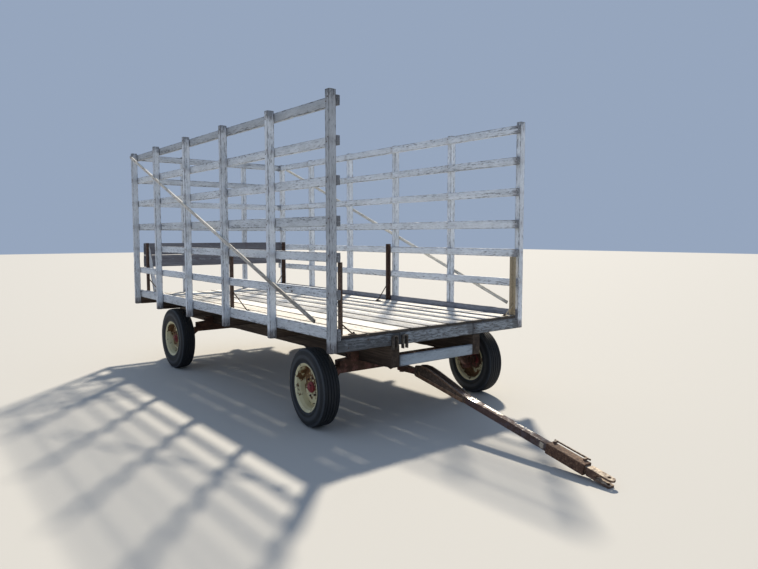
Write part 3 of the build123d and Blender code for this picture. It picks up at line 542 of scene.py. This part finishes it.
# Darkest and palest tone of a side's boards. The right side is darker as painted shade and the left paler as painted
# light; the right front post is darkest as painted shade, and the right top rail is dark too
rackTonesWithPaintedLight = {"right": (0.4, 0.73), "left": (0.68, 0.98), "shadedFrontPost": 0.08, "topRail": 0.1,
             "footLoss": 0.25, "footStain": 0.42}
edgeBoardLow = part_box("rim_boards")[0].z
railHeights = sorted(round((low.z + high.z) / 2, 5) for low, high, _ in railBoxes["left"])
railRear = min(low.x for low, high, _ in railBoxes["right"])
for side in sides:
    posts, rails = [], []
    for low, high, _ in postBoxes[side]:
        tone = dice.uniform(*rackTonesWithPaintedLight[side])
        # The right front post is darkest, as painted shade
        if side == "right" and high.x > postPlaces[-1]:
            tone = rackTonesWithPaintedLight["shadedFrontPost"]
        post = boardAt(low, high, rackLook, railHeights, tone=tone)
        # The foot has lost its paint to the wet
        wearLayer = post.verts.layers.float_color["wear"]
        for vert in post.verts:
            if vert.co.z < edgeBoardLow:
                vert[wearLayer].x = tone - rackTonesWithPaintedLight["footLoss"]
                vert[wearLayer].z = rackTonesWithPaintedLight["footStain"]
        posts.append(post)
    for low, high, _ in railBoxes[side]:
        tone = dice.uniform(*rackTonesWithPaintedLight[side])
        if side == "right" and high.z > railHeights[-1]:
            tone = rackTonesWithPaintedLight["topRail"]
        # The rail that starts further forward is broken off
        look = tornLook if low.x > railRear + 0.1 else rackLook
        rails.append(boardAt(low, high, look, postPlaces, tone=tone))
    for kind, boards in (("posts", posts), ("rails", rails)):
        finishPiece(collect(boards), f"{kind}-{side}", "wagon", sideFirWithPaintedLight, "rack_paint", f"side_{kind}_{side}")


# A slanted strip's upward run, its side and its frame
def stripPlace(low, high, run, through):
    run = run if run.z > 0 else -run
    side = Vector(through).cross(run)
    return run, side, frameAt((low + high) / 2, run, side)


# Slanted strips: the long braces, cut square, and the rear corner's knee, cut level. The right brace is darker and
# brown up to the first height above its foot and pale from the second: bare wood, and painted shade on its lower part
stripLook = dict(rackLook, waver=0.0008, chip=0.002)
bracePaintedShade = {"least": 0.15, "heights": (0.15, 0.75)}
for low, high, run in solidsOf("side_braces"):
    run, side, place = stripPlace(low, high, run, (0, 1, 0))
    extent, c, s = high - low, abs(run.x), run.z
    length = (extent.x * c - extent.z * s) / (c * c - s * s)
    width = (extent.z - length * s) / c
    bm = sawBoard((length, width, extent.y), place, stripLook)
    # The left brace is paler as painted sunlight
    name, batten = ("right", battenWithPaintedShade) if low.y < 0 else ("left", battenWithPaintedSunlight)
    if name == "right":
        wearLayer = bm.verts.layers.float_color["wear"]
        for vert in bm.verts:
            # Darker towards the foot: bare wood and painted shade
            vert[wearLayer].x = max(bracePaintedShade["least"], share(vert.co.z - low.z, *bracePaintedShade["heights"]))
    finishPiece(bm, f"brace-{name}", "wagon", batten, "brace_wood", "side_braces")
for low, high, run in solidsOf("rear_knee_brace"):
    run, side, place = stripPlace(low, high, run, (1, 0, 0))
    extent = high - low
    width = (extent.y - extent.z * abs(run.y) / run.z) * run.z
    bm = sawBoard((extent.z / run.z, width, extent.x), place, stripLook, slope=-side.z / run.z)
    finishPiece(bm, "knee-strip", "wagon", paintedFir, "brace_wood", "rear_knee_brace")
print("rack sides made")

# Rear rack
rearLook = dict(rackLook, waver=0.0012)
rearPostPlaces = [(low.y + high.y) / 2 for low, high, _ in solidsOf("rear_posts")]
boardPiece("rear_posts", rearLook, paintedFir, "rack_paint")
boardPiece("rear_rails", rearLook, paintedFir, "rack_paint", rearPostPlaces)
boardPiece("rear_planks", rearLook, greyPlank, "grey_wood", rearPostPlaces)

# Deck, its edge boards and what carries it
deckLook = dict(boardLook, cup=0.0012, waver=0.0008, endUneven=0.002, chip=0.006)
troddenSide = -0.4
planks = {"whole": [], "trodden": []}
for low, high, _ in solidsOf("deck_boards"):
    planks["trodden" if high.y < troddenSide else "whole"].append(boardAt(low, high, deckLook, sillPlaces))
for kind, material in (("whole", bleachedPine), ("trodden", creamPine)):
    finishPiece(collect(planks[kind]), "deck-planks-" + kind, "wagon", material, "deck_wood", "deck_boards")
rimBoxes = solidsOf("rim_boards")
for low, high, _ in rimBoxes:
    # The left edge board, whose inner face lies in shade, takes the paint with painted shade
    side, material = ("right", paintedFir) if low.y < 0 else ("left", shadedEdgeBoardFir)
    bm = boardAt(low, high, dict(boardLook, endUneven=0.0), postPlaces)
    finishPiece(bm, "deck-edge-board-" + side, "wagon", material, "rack_paint", "rim_boards")
rimLow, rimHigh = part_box("rim_boards")
rimThick = rimBoxes[0][1].y - rimBoxes[0][0].y
# The header's right length is darker than the other two
timberLook = dict(boardLook, endUneven=0.001)
headerTones = {"rightEnd": -0.6, "right": 0.08, "others": 0.85}
for node, material in (("cross_sills", darkOak), ("front_header", greyOak)):
    timbers = []
    for low, high, _ in solidsOf(node):
        size, place, _ = boardPlace(low, high)
        # The notch is cut on the side that ends up on top
        if (place.to_3x3() @ Vector((0, 1, 0))).z < 0:
            place = place @ Matrix.Rotation(math.pi, 4, "X")
        facing = (place.to_3x3() @ Vector((1, 0, 0))).y
        ends = [end for end, y in ((-facing, low.y), (facing, high.y)) if abs(abs(y) - rimHigh.y) < 0.002]
        tone = None
        if node == "front_header":
            tone = headerTones["others" if low.y > headerTones["rightEnd"] else "right"]
        timbers.append(sawBoard(size, place, timberLook, steps=(ends, rimThick, high.z - rimLow.z), tone=tone))
    finishPiece(collect(timbers), node.replace("_", "-"), "wagon", material, "sill_wood", node)
boardPiece("long_sills", dict(boardLook, edgeRound=0.005, chip=0.008), darkOak, "sill_wood")
boardPiece("spreader_board", boardLook, spreaderPaint, "rack_paint", name="spreader")
print("deck and sills made")

# The tongue's own frame: origin in its hinge, x down the tongue, y to the wagon's left
hinge = Vector(joints["tongue_lift"]["pos_m"])
downTongue = Vector(joints["hitch_slide"]["axis"]).normalized()
tongueLeft = upward.cross(downTongue).normalized()
tonguePlace = frameAt(hinge, downTongue, tongueLeft)
inTongue = tonguePlace.inverted()


# Rust, rubbing and grime at each point of a piece, for its material
def setWear(bm, wearAt):
    layer = bm.verts.layers.float_color.new("wear")
    for vert in bm.verts:
        vert[layer] = (*wearAt(vert.co), 1)


# Rubbed stretches of the tube's top, laid where the sun glints on it, so partly a painted highlight: start and end in
# metres from the hinge, and how bright its right edge, middle and left edge are. The patch is on its right side
tubeLook = {
    "rubbed": ((0.7, 0.84, 1.0, 0.2, 1.0), (0.84, 1.12, 0.1, 0.2, 0.85), (1.22, 1.46, 0.0, 0.05, 0.7)),
    "fades": (0.02, 0.06), "top": 0.025, "edge": 0.02, "side": 0.029,
    "patch": (1.55, 1.57, 0.0215), "patchRub": 0.85, "grime": 0.35, "grimePlaces": (0.9, 1.6),
    "firstCut": 0.68, "pitch": 0.04, "cuts": 24, "levels": (-0.021, 0.021, 0.0255),
}


def tubeWear(spot):
    along, across, up = inTongue @ spot
    rubAndGlint, (fadeIn, fadeOut) = 0.0, tubeLook["fades"]
    if up > tubeLook["top"]:
        # Bright stretches on top: rubbed steel and painted glint
        for start, end, right, middle, left in tubeLook["rubbed"]:
            inside = min(share(along, start, start + fadeIn), share(along, end, end - fadeOut))
            most = right if across < -tubeLook["edge"] else left if across > tubeLook["edge"] else middle
            rubAndGlint = max(rubAndGlint, inside * most)
    start, end, half = tubeLook["patch"]
    if across < -tubeLook["side"] and start < along < end and abs(up) < half:
        rubAndGlint = tubeLook["patchRub"]
    return 0.0, rubAndGlint, tubeLook["grime"] * share(along, *tubeLook["grimePlaces"])


# The front irons have weathered pale, the left one most
ironLook = {"front": 1.3, "leftPale": 0.6, "rightPale": 0.26}


def ironWear(spot):
    pale = ironLook["leftPale"] if spot.y > 0 else ironLook["rightPale"]
    return 0.0, pale if spot.x >= ironLook["front"] else 0.0, 0.0


# Steel parts keep their CAD shape, with their sharp edges eased
steelLook = {"ease": 0.002, "sharp": 0.6, "flat": 0.002}
tubeCuts = [((tubeLook["firstCut"] + i * tubeLook["pitch"], 0, 0), (1, 0, 0)) for i in range(tubeLook["cuts"])]
tubeCuts += [((0, side * 1.05 * tubeLook["edge"], 0), (0, 1, 0)) for side in (-1, 1)]
tubeCuts += [((0, 0, up), (0, 0, 1)) for up in tubeLook["levels"]]
for material, slotName, members, cuts, wearAt in (
    (strapSteel, "rusty_steel", ("header_irons",), (), None),
    (ironRust, "rusty_steel", ("rack_irons",), (), ironWear),
    (gearRed, "gear_paint", ("front_bolster", "rear_bolster", "front_axle", "rear_axle", "reach_pole",
                             "reach_braces", "knuckle_right", "knuckle_left", "steering_yoke",
                             "tie_rod_right", "tie_rod_left"), (), None),
    # The hound plates are darkened, partly as painted shade
    (houndGreaseAndShade, "rusty_steel", ("tongue_hounds",), (), None),
    (tubeSteel, "rusty_steel", ("tongue_tube",), tubeCuts, tubeWear),
    (sleeveSteel, "rusty_steel", ("tongue_sleeve",), (), None),
    # The clevis's cream top is partly painted sunlight
    (clevisWithPaintedSunlitTop, "rusty_steel", ("tongue_latch", "tongue_head"), (), None),
):
    for node in members:
        bm = mergedCopy(node)
        bmesh.ops.dissolve_limit(bm, angle_limit=steelLook["flat"], verts=bm.verts, edges=bm.edges)
        easeEdges(bm, steelLook["ease"], steelLook["sharp"])
        for spot, normal in cuts:
            cutThrough(bm, tonguePlace @ Vector(spot), tonguePlace.to_3x3() @ Vector(normal))
        if wearAt:
            setWear(bm, wearAt)
        finishPiece(bm, node.replace("_", "-"), bodyOf[node], material, slotName, node, smoothAngle=0.7)
print("steel parts made")

# Bars along the hound plates' edges: their feet as (along, up) in metres from the hinge, and their height
houndLook = {
    "face": 0.041, "bite": 0.0008, "proud": 0.006, "round": 0.0018,
    "bars": ((((-0.035, -0.042), (0.19, -0.0365), (0.648, -0.0295)), 0.036),
             (((0.03, 0.0735), (0.1, 0.0825), (0.209, 0.0765), (0.434, 0.0495), (0.62, 0.0205)), 0.0135)),
}
bm = bmesh.new()
for side in (-1, 1):
    for line, deep in houndLook["bars"]:
        foot = [bm.verts.new((along, side * (houndLook["face"] - houndLook["bite"]), up)) for along, up in line]
        edges = [bm.edges.new(pair) for pair in zip(foot, foot[1:])]
        made = bmesh.ops.extrude_edge_only(bm, edges=edges)["geom"]
        bmesh.ops.translate(bm, verts=[item for item in made if isinstance(item, bmesh.types.BMVert)],
                            vec=(0, 0, deep))
        flat = [item for item in made if isinstance(item, bmesh.types.BMFace)]
        made = bmesh.ops.solidify(bm, geom=flat, thickness=houndLook["proud"])["geom"]
        thick = {vert for item in made if isinstance(item, bmesh.types.BMFace) for vert in item.verts}
        # A wall that went inwards is moved out in front
        inside = [vert for vert in thick if abs(vert.co.y) < houndLook["face"] - 0.002]
        bmesh.ops.translate(bm, verts=inside, vec=(0, 2 * side * houndLook["proud"], 0))
bmesh.ops.recalc_face_normals(bm, faces=bm.faces)
easeEdges(bm, houndLook["round"], 0.6)
bm.transform(tonguePlace)
finishPiece(bm, "hound-bars", "tongue", houndSteel, "rusty_steel", smoothAngle=0.7)


# A weld: low overlapping lumps along a line
def addWeld(bm, start, end, radius):
    start, end = Vector(start), Vector(end)
    count = max(2, round((end - start).length / radius))
    for i in range(count + 1):
        middle = start.lerp(end, i / count) + Vector([dice.uniform(-0.0006, 0.0006) for _ in range(3)])
        lump = Matrix.Translation(middle) @ Matrix.Diagonal((*[dice.uniform(0.85, 1.15) for _ in range(3)], 1))
        bmesh.ops.create_icosphere(bm, subdivisions=1, radius=radius, matrix=lump)


# The tongue's welds, and its pin's washers and cotters, in metres from the hinge
weldLook = {
    "bead": 0.004, "fineBead": 0.0035, "plateEnd": 0.671, "plateHalf": 0.024, "sleeveHalf": 0.028,
    "tubeHalf": 0.031, "seam": (0.46, 0.64), "cotterOut": 0.0465, "cotterTurn": 0.5, "cotterRadius": 0.0024,
    "cotterLong": 0.046,
}
sleeveBack = min((inTongue @ vert.co).x for vert in nodes["tongue_sleeve"].data.vertices)
sleeveHalf, top = weldLook["sleeveHalf"], weldLook["tubeHalf"]
bm = bmesh.new()
for side in (-1, 1):
    y = side * weldLook["tubeHalf"]
    for x, half in ((weldLook["plateEnd"], weldLook["plateHalf"]), (sleeveBack, sleeveHalf)):
        addWeld(bm, (x, y, -half), (x, y, half), weldLook["bead"])
    addWeld(bm, *[(x, y, top) for x in weldLook["seam"]], weldLook["fineBead"])
    # Across the tube's top and underside, at the sleeve
    addWeld(bm, (sleeveBack, -sleeveHalf, y), (sleeveBack, sleeveHalf, y), weldLook["bead"])
    addHead(bm, (0, side * (houndLook["face"] - 0.0005), 0), (0, side, 0), "pinWasher")
    cotter = Matrix.Translation((0, side * weldLook["cotterOut"], 0))
    cotter = cotter @ Matrix.Rotation(weldLook["cotterTurn"], 4, "Y")
    addRod(bm, 8, weldLook["cotterRadius"], weldLook["cotterRadius"], weldLook["cotterLong"], cotter)
bm.transform(tonguePlace)
finishPiece(bm, "tongue-welds", "tongue", houndSteel, "rusty_steel", smoothAngle=0.9)
print("tongue dressed")

# Wheels: sizes and places in metres, angles in radians
wheelLook = {
    "steps": 112, "sharp": 0.45, "bolts": 6, "boltCircle": 0.084, "nutSeat": 0.0177,
    "valveOut": 0.02, "valveCircle": 0.15, "valveAngle": -1.2, "valveLong": 0.04, "valveRadii": (0.0045, 0.0032),
    "patchAngle": 2.35, "patchSpan": (0.75, 0.35), "backRust": 0.24, "backDepth": 0.012, "backRadius": 0.19,
}
# Rust, and tyre scuffs that are partly a painted sheen: the most of each, where it starts and where it is full
wheelWear = {
    "disc": (0.19, 0.16, 0.09), "patch": (0.25, 0.205, 0.19), "flange": (0.3, 0.048, 0.06),
    "hubBack": (0.4, 0.002, -0.002), "shoulder": (0.4, 0.07, 0.074), "shoulderEnd": (1, 0.084, 0.079),
    "wall": (0.35, 0.0925, 0.0935), "bead": (0.25, 0.245, 0.238),
}
# Profiles: millimetres outward from the wheel's middle, and radius or depth below the tread
ringLook = {"places": (0.22, 0.46, 0.7), "rise": 1.4, "wide": 5}
treadDepths = ((0, 0), (8, 0), (10, 9), (16, 9), (18, 0), (36, 1), (38, 10), (44, 10), (46, 1.5), (60, 3), (62, 9),
               (66, 10), (68, 5), (73, 6.5), (78, 11), (80, 19), (85, 28), (89, 38), (92, 52), (93.5, 66),
               (93.5, 84), (92, 96))
beadRadii = ((84, 238), (80.5, 234), (78.5, 226), (75, 217), (72.8, 210), (72, 204.6))
rimProfile = ((-80, 222), (-84.5, 221), (-78, 203), (-73, 197), (-56, 195), (-44, 184), (-32, 184), (-20, 190),
              (-4, 176), (7, 142), (12.4, 116), (12.4, 51), (17.8, 51), (18, 114), (13, 142), (3, 174), (-9, 191),
              (40, 188), (54, 195), (73, 197), (78, 203), (84.5, 221), (80, 222), (75, 214), (72.4, 203.4),
              (-72.4, 203.4), (-75, 214))
hubProfile = ((48, 0), (48, 18.2), (-50, 18.2), (-50, 38), (-46, 42), (4, 42), (4, 95), (11.8, 95), (11.8, 50),
              (34, 49), (37, 46), (37, 34), (50, 33), (53.5, 26), (54, 0))


def tyreProfile(radius):
    half = [(x, radius - depth) for x, depth in treadDepths]
    (topX, topR), (lowX, lowR) = half[-1], beadRadii[0]
    rise, wide = ringLook["rise"], ringLook["wide"]
    for down in ringLook["places"]:
        x, r = topX + (lowX - topX) * down, topR + (lowR - topR) * down
        half += [(x, r), (x + rise, r - wide * 0.3), (x + rise, r - wide * 0.7), (x - 0.2, r - wide)]
    half += beadRadii
    return [(-x, r) for x, r in reversed(half[1:])] + half


def wornBy(kind, value):
    most, start, full = wheelWear[kind]
    return most * share(value, start, full)


# Rust spreads from the disc's bolts, and one patch of it climbs into the barrel
def rimWear(spot):
    radius, angle = math.hypot(spot.y, spot.z), math.atan2(spot.z, spot.y)
    patch = wornBy("patch", radius) * share(abs(angle - wheelLook["patchAngle"]), *wheelLook["patchSpan"])
    behind = spot.x < wheelLook["backDepth"] and radius < wheelLook["backRadius"]
    return max(wornBy("disc", radius), wheelLook["backRust"] if behind else 0.0, patch), 0.0, 0.0


# Nuts and flange sit in rust and old grease
def hubWear(spot):
    return max(wornBy("flange", math.hypot(spot.y, spot.z)), wornBy("hubBack", spot.x)), 0.0, 0.0


# Shoulders and the wall's rings are scuffed paler, partly as a painted sheen
def tyreWear(spot):
    out = abs(spot.x)
    shoulder = wornBy("shoulder", out) * wornBy("shoulderEnd", out)
    return 0.0, max(shoulder, wornBy("wall", out) + wornBy("bead", math.hypot(spot.y, spot.z))), 0.0


def spinProfile(profile, place, closed, rounding, wearAt):
    bm = bmesh.new()
    rim = [bm.verts.new((outward / 1000, 0, radius / 1000)) for outward, radius in profile]
    pairs = list(zip(rim, rim[1:])) + ([(rim[-1], rim[0])] if closed else [])
    edges = [bm.edges.new(pair) for pair in pairs]
    bmesh.ops.spin(bm, geom=rim + edges, cent=(0, 0, 0), axis=(1, 0, 0), angle=math.tau,
                   steps=wheelLook["steps"], use_merge=True)
    bmesh.ops.remove_doubles(bm, verts=bm.verts, dist=0.00002)
    easeEdges(bm, rounding, wheelLook["sharp"])
    bmesh.ops.recalc_face_normals(bm, faces=bm.faces)
    setWear(bm, wearAt)
    bm.transform(place)
    return bm


def onCircle(out, circle, angle):
    return Vector((out, math.cos(angle) * circle, math.sin(angle) * circle))


for wheel in ("front_right", "front_left", "rear_right", "rear_left"):
    joint = joints[f"wheel_{wheel}_spin"]
    outward = Vector(joint["axis"]).normalized() * sides[wheel.split("_")[1]]
    place = frameAt(joint["pos_m"], outward, upward.cross(outward))
    body = "wheel_" + wheel
    for kind, profile, closed, rounding, wearAt, material, slotName, smoothAngle in (
        ("tyre", tyreProfile(joint["pos_m"][2] * 1000), True, 0.001, tyreWear, rubber, "tyre_rubber", 0.9),
        ("rim", rimProfile, True, 0.0008, rimWear, rimCream, "rim_paint", 0.6),
        ("hub", hubProfile, False, 0.0015, hubWear, hubRed, "hub_paint", 0.6),
    ):
        bm = spinProfile(profile, place, closed, rounding, wearAt)
        finishPiece(bm, f"{kind}-{wheel}", body, material, slotName, f"{kind}_{wheel}", smoothAngle=smoothAngle)
    bm = bmesh.new()
    for i in range(wheelLook["bolts"]):
        angle = math.tau * (i + 0.25) / wheelLook["bolts"]
        addHead(bm, onCircle(wheelLook["nutSeat"], wheelLook["boltCircle"], angle), (1, 0, 0), "wheelNut")
    # The valve's stem stands in the disc's slope
    stem = Matrix.Translation(onCircle(wheelLook["valveOut"], wheelLook["valveCircle"], wheelLook["valveAngle"]))
    stem = stem @ Matrix.Rotation(math.pi / 2, 4, "Y")
    addRod(bm, 10, *wheelLook["valveRadii"], wheelLook["valveLong"], stem)
    bm.transform(place)
    finishPiece(bm, f"nuts-{wheel}", body, nutRust, "rusty_steel")
print("wheels made")

# Nails: a pair at each crossing of post and rail, rows across the deck boards, and along the header
nailLook = {
    "spread": 0.018, "sunk": 0.0012, "deckAcross": (0.12, 0.5, 0.88), "deckStray": 0.012, "deckSunk": 0.002,
    "headerStart": 0.1, "headerPitch": 0.21, "headerStray": 0.03, "headerRows": (0.3, 0.7), "headerSunk": 0.0015,
}
bm = bmesh.new()
for side, sign in sides.items():
    railInner = min(abs(corner.y) for corner in railBoxes[side][0][:2])
    for low, high, _ in postBoxes[side]:
        middle, postOuter = (low.x + high.x) / 2, max(abs(low.y), abs(high.y))
        for z in railHeights:
            for lift in (-1, 1):
                x = middle + lift * dice.uniform(0.5, 1) * nailLook["spread"] * 0.8
                for y, facing in ((postOuter - nailLook["sunk"], 1), (railInner + nailLook["sunk"], -1)):
                    if facing > 0 or lift > 0:
                        addHead(bm, (x, sign * y, z + lift * nailLook["spread"]), (0, sign * facing, 0), "nail")
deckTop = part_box("deck_boards")[1].z
stray = nailLook["deckStray"]
for low, high, _ in solidsOf("deck_boards"):
    for x in sillPlaces:
        for across in nailLook["deckAcross"]:
            y = low.y + (high.y - low.y) * across
            addHead(bm, (x + dice.uniform(-stray, stray), y, deckTop - nailLook["deckSunk"]), upward, "nail")
stray = nailLook["headerStray"]
for low, high, _ in solidsOf("front_header"):
    for i in range(int((high.y - low.y) / nailLook["headerPitch"])):
        y = low.y + nailLook["headerStart"] + i * nailLook["headerPitch"] + dice.uniform(-stray, stray)
        z = low.z + (high.z - low.z) * dice.choice(nailLook["headerRows"])
        addHead(bm, (high.x - nailLook["headerSunk"], y, z), (1, 0, 0), "nail")
finishPiece(bm, "nail-heads", "wagon", nailRust, "rusty_steel", smoothAngle=0.8)

# Bolts: in the bolsters and their stakes, the header's joints, the right lower rail and the stays' feet
boltLook = {
    "stakeDrop": 0.03, "stakePair": 0.022, "seat": 0.0005, "bolsterOut": 0.0448, "bolsterAcross": (0.2, 0.42),
    "bolsterRise": 0.019, "headerPlaces": (-0.506, 0.489), "headerRise": 0.806, "headerSunk": 0.003,
    "railPair": ((0.24, 0.012), (0.31, -0.014)), "railProud": 0.001, "footIn": 0.016, "footRise": 0.0055,
    "footTallest": 0.8,
}
bm = bmesh.new()
for node in ("front_bolster", "rear_bolster"):
    low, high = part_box(node)
    axle = (low.x + high.x) / 2
    stake = max(abs(vert.co.y) for vert in nodes[node].data.vertices if vert.co.z > high.z - 0.01)
    for side in (-1, 1):
        for shift in (-1, 1):
            x, y, z = axle + shift * boltLook["stakePair"], stake - boltLook["seat"], high.z - boltLook["stakeDrop"]
            addHead(bm, (x, side * y, z), (0, side, 0), "stakeBolt")
            x, z = axle + shift * boltLook["bolsterOut"], low.z + boltLook["bolsterRise"]
            for y in boltLook["bolsterAcross"]:
                addHead(bm, (x, side * y, z), (shift, 0, 0), "stakeBolt")
x = headerHigh.x - boltLook["headerSunk"]
for y in boltLook["headerPlaces"]:
    addHead(bm, (x, y, boltLook["headerRise"]), (1, 0, 0), "headerBolt")
y = railBoxes["right"][0][0].y + boltLook["railProud"]
for forward, lift in boltLook["railPair"]:
    addHead(bm, (postPlaces[-2] + forward, y, min(railHeights) + lift), (0, -1, 0), "railBolt")
for low, high, _ in solidsOf("rack_irons"):
    # A stay with its foot is lower than an iron
    if high.z - low.z < boltLook["footTallest"]:
        y = (low.y if low.y > 0 else high.y) + math.copysign(boltLook["footIn"], low.y)
        addHead(bm, ((low.x + high.x) / 2, y, deckTop + boltLook["footRise"]), upward, "footBolt")
finishPiece(bm, "wagon-bolts", "wagon", nutRust, "rusty_steel", smoothAngle=0.8)

# Caps and nuts on the kingpins, and nuts under the studs of the steering arms and the yoke
steerLook = {"arm": 0.2, "studRadius": 0.0125}
nutTall = heads["studNut"][1]
ahead = Vector((downTongue.x, downTongue.y, 0)).normalized()
for side in sides:
    node = "knuckle_" + side
    pin = Vector(joints[node + "_turn"]["pos_m"])
    bm = bmesh.new()
    addHead(bm, (pin.x, pin.y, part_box(node)[1].z - boltLook["seat"]), upward, "kingpinCap")
    addHead(bm, (pin.x, pin.y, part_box(node)[0].z + boltLook["seat"]), -upward, "kingpinNut")
    arm = pin - steerLook["arm"] * ahead
    under = min(vert.co.z for vert in nodes[node].data.vertices
                if (vert.co.xy - arm.xy).length < steerLook["studRadius"])
    addHead(bm, (arm.x, arm.y, under + nutTall), -upward, "studNut")
    finishPiece(bm, "knuckle-nuts-" + side, node, nutRust, "rusty_steel", smoothAngle=0.8)
bm = bmesh.new()
stud = Vector(joints["tie_rod_left_turn"]["pos_m"])
addHead(bm, (stud.x, stud.y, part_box("steering_yoke")[0].z + nutTall), -upward, "studNut")
finishPiece(bm, "yoke-nut", "steering_yoke", nutRust, "rusty_steel", smoothAngle=0.8)
print("nails and bolts made")

# Floor, light and camera
bm = bmesh.new()
bmesh.ops.create_grid(bm, x_segments=1, y_segments=1, size=60)
floor = addObject("floor", meshOf(bm, "floor"))
floorPaint, add, shader = startMaterial("pale-studio-floor")
feed(shader, {"Base Color": "B9B8B4", "Roughness": 0.9})
floor.data.materials.append(floorPaint)

# A warm wide lamp over the left rear, under a pale blue sky
lightLook = {
    "sky": "C3D7F5", "skyStrength": 0.56, "sun": "FFF3DF", "sunStrength": 5.6, "sunAngle": 4.0,
    "sunFrom": (-2.22, 2.12, 2.86),
}
world = bpy.data.worlds.new("studio")
bpy.context.scene.world = world
world.use_nodes = True
feed(world.node_tree.nodes["Background"], {"Color": lightLook["sky"], "Strength": lightLook["skyStrength"]})
sun = bpy.data.lights.new("key", "SUN")
sun.energy = lightLook["sunStrength"]
sun.color = linearColor(lightLook["sun"])[:3]
sun.angle = math.radians(lightLook["sunAngle"])
key = addObject("key", sun)
key.rotation_euler = Vector(lightLook["sunFrom"]).to_track_quat("Z", "Y").to_euler()
bpy.context.scene.view_settings.view_transform = "Standard"

# The camera stands ahead of the right front corner, at eye level
cameraLook = {"place": (5.7006, -4.069, 1.714), "look": (-0.7796, 0.6216, -0.0774), "lens": 29.94}
cameraData = bpy.data.cameras.new("camera")
cameraData.lens = cameraLook["lens"]
cameraData.sensor_width = 36
cameraData.clip_end = 200
camera = addObject("camera", cameraData)
camera.location = cameraLook["place"]
camera.rotation_euler = Vector(cameraLook["look"]).to_track_quat("-Z", "Y").to_euler()
bpy.context.scene.camera = camera
print("floor, light and camera set")
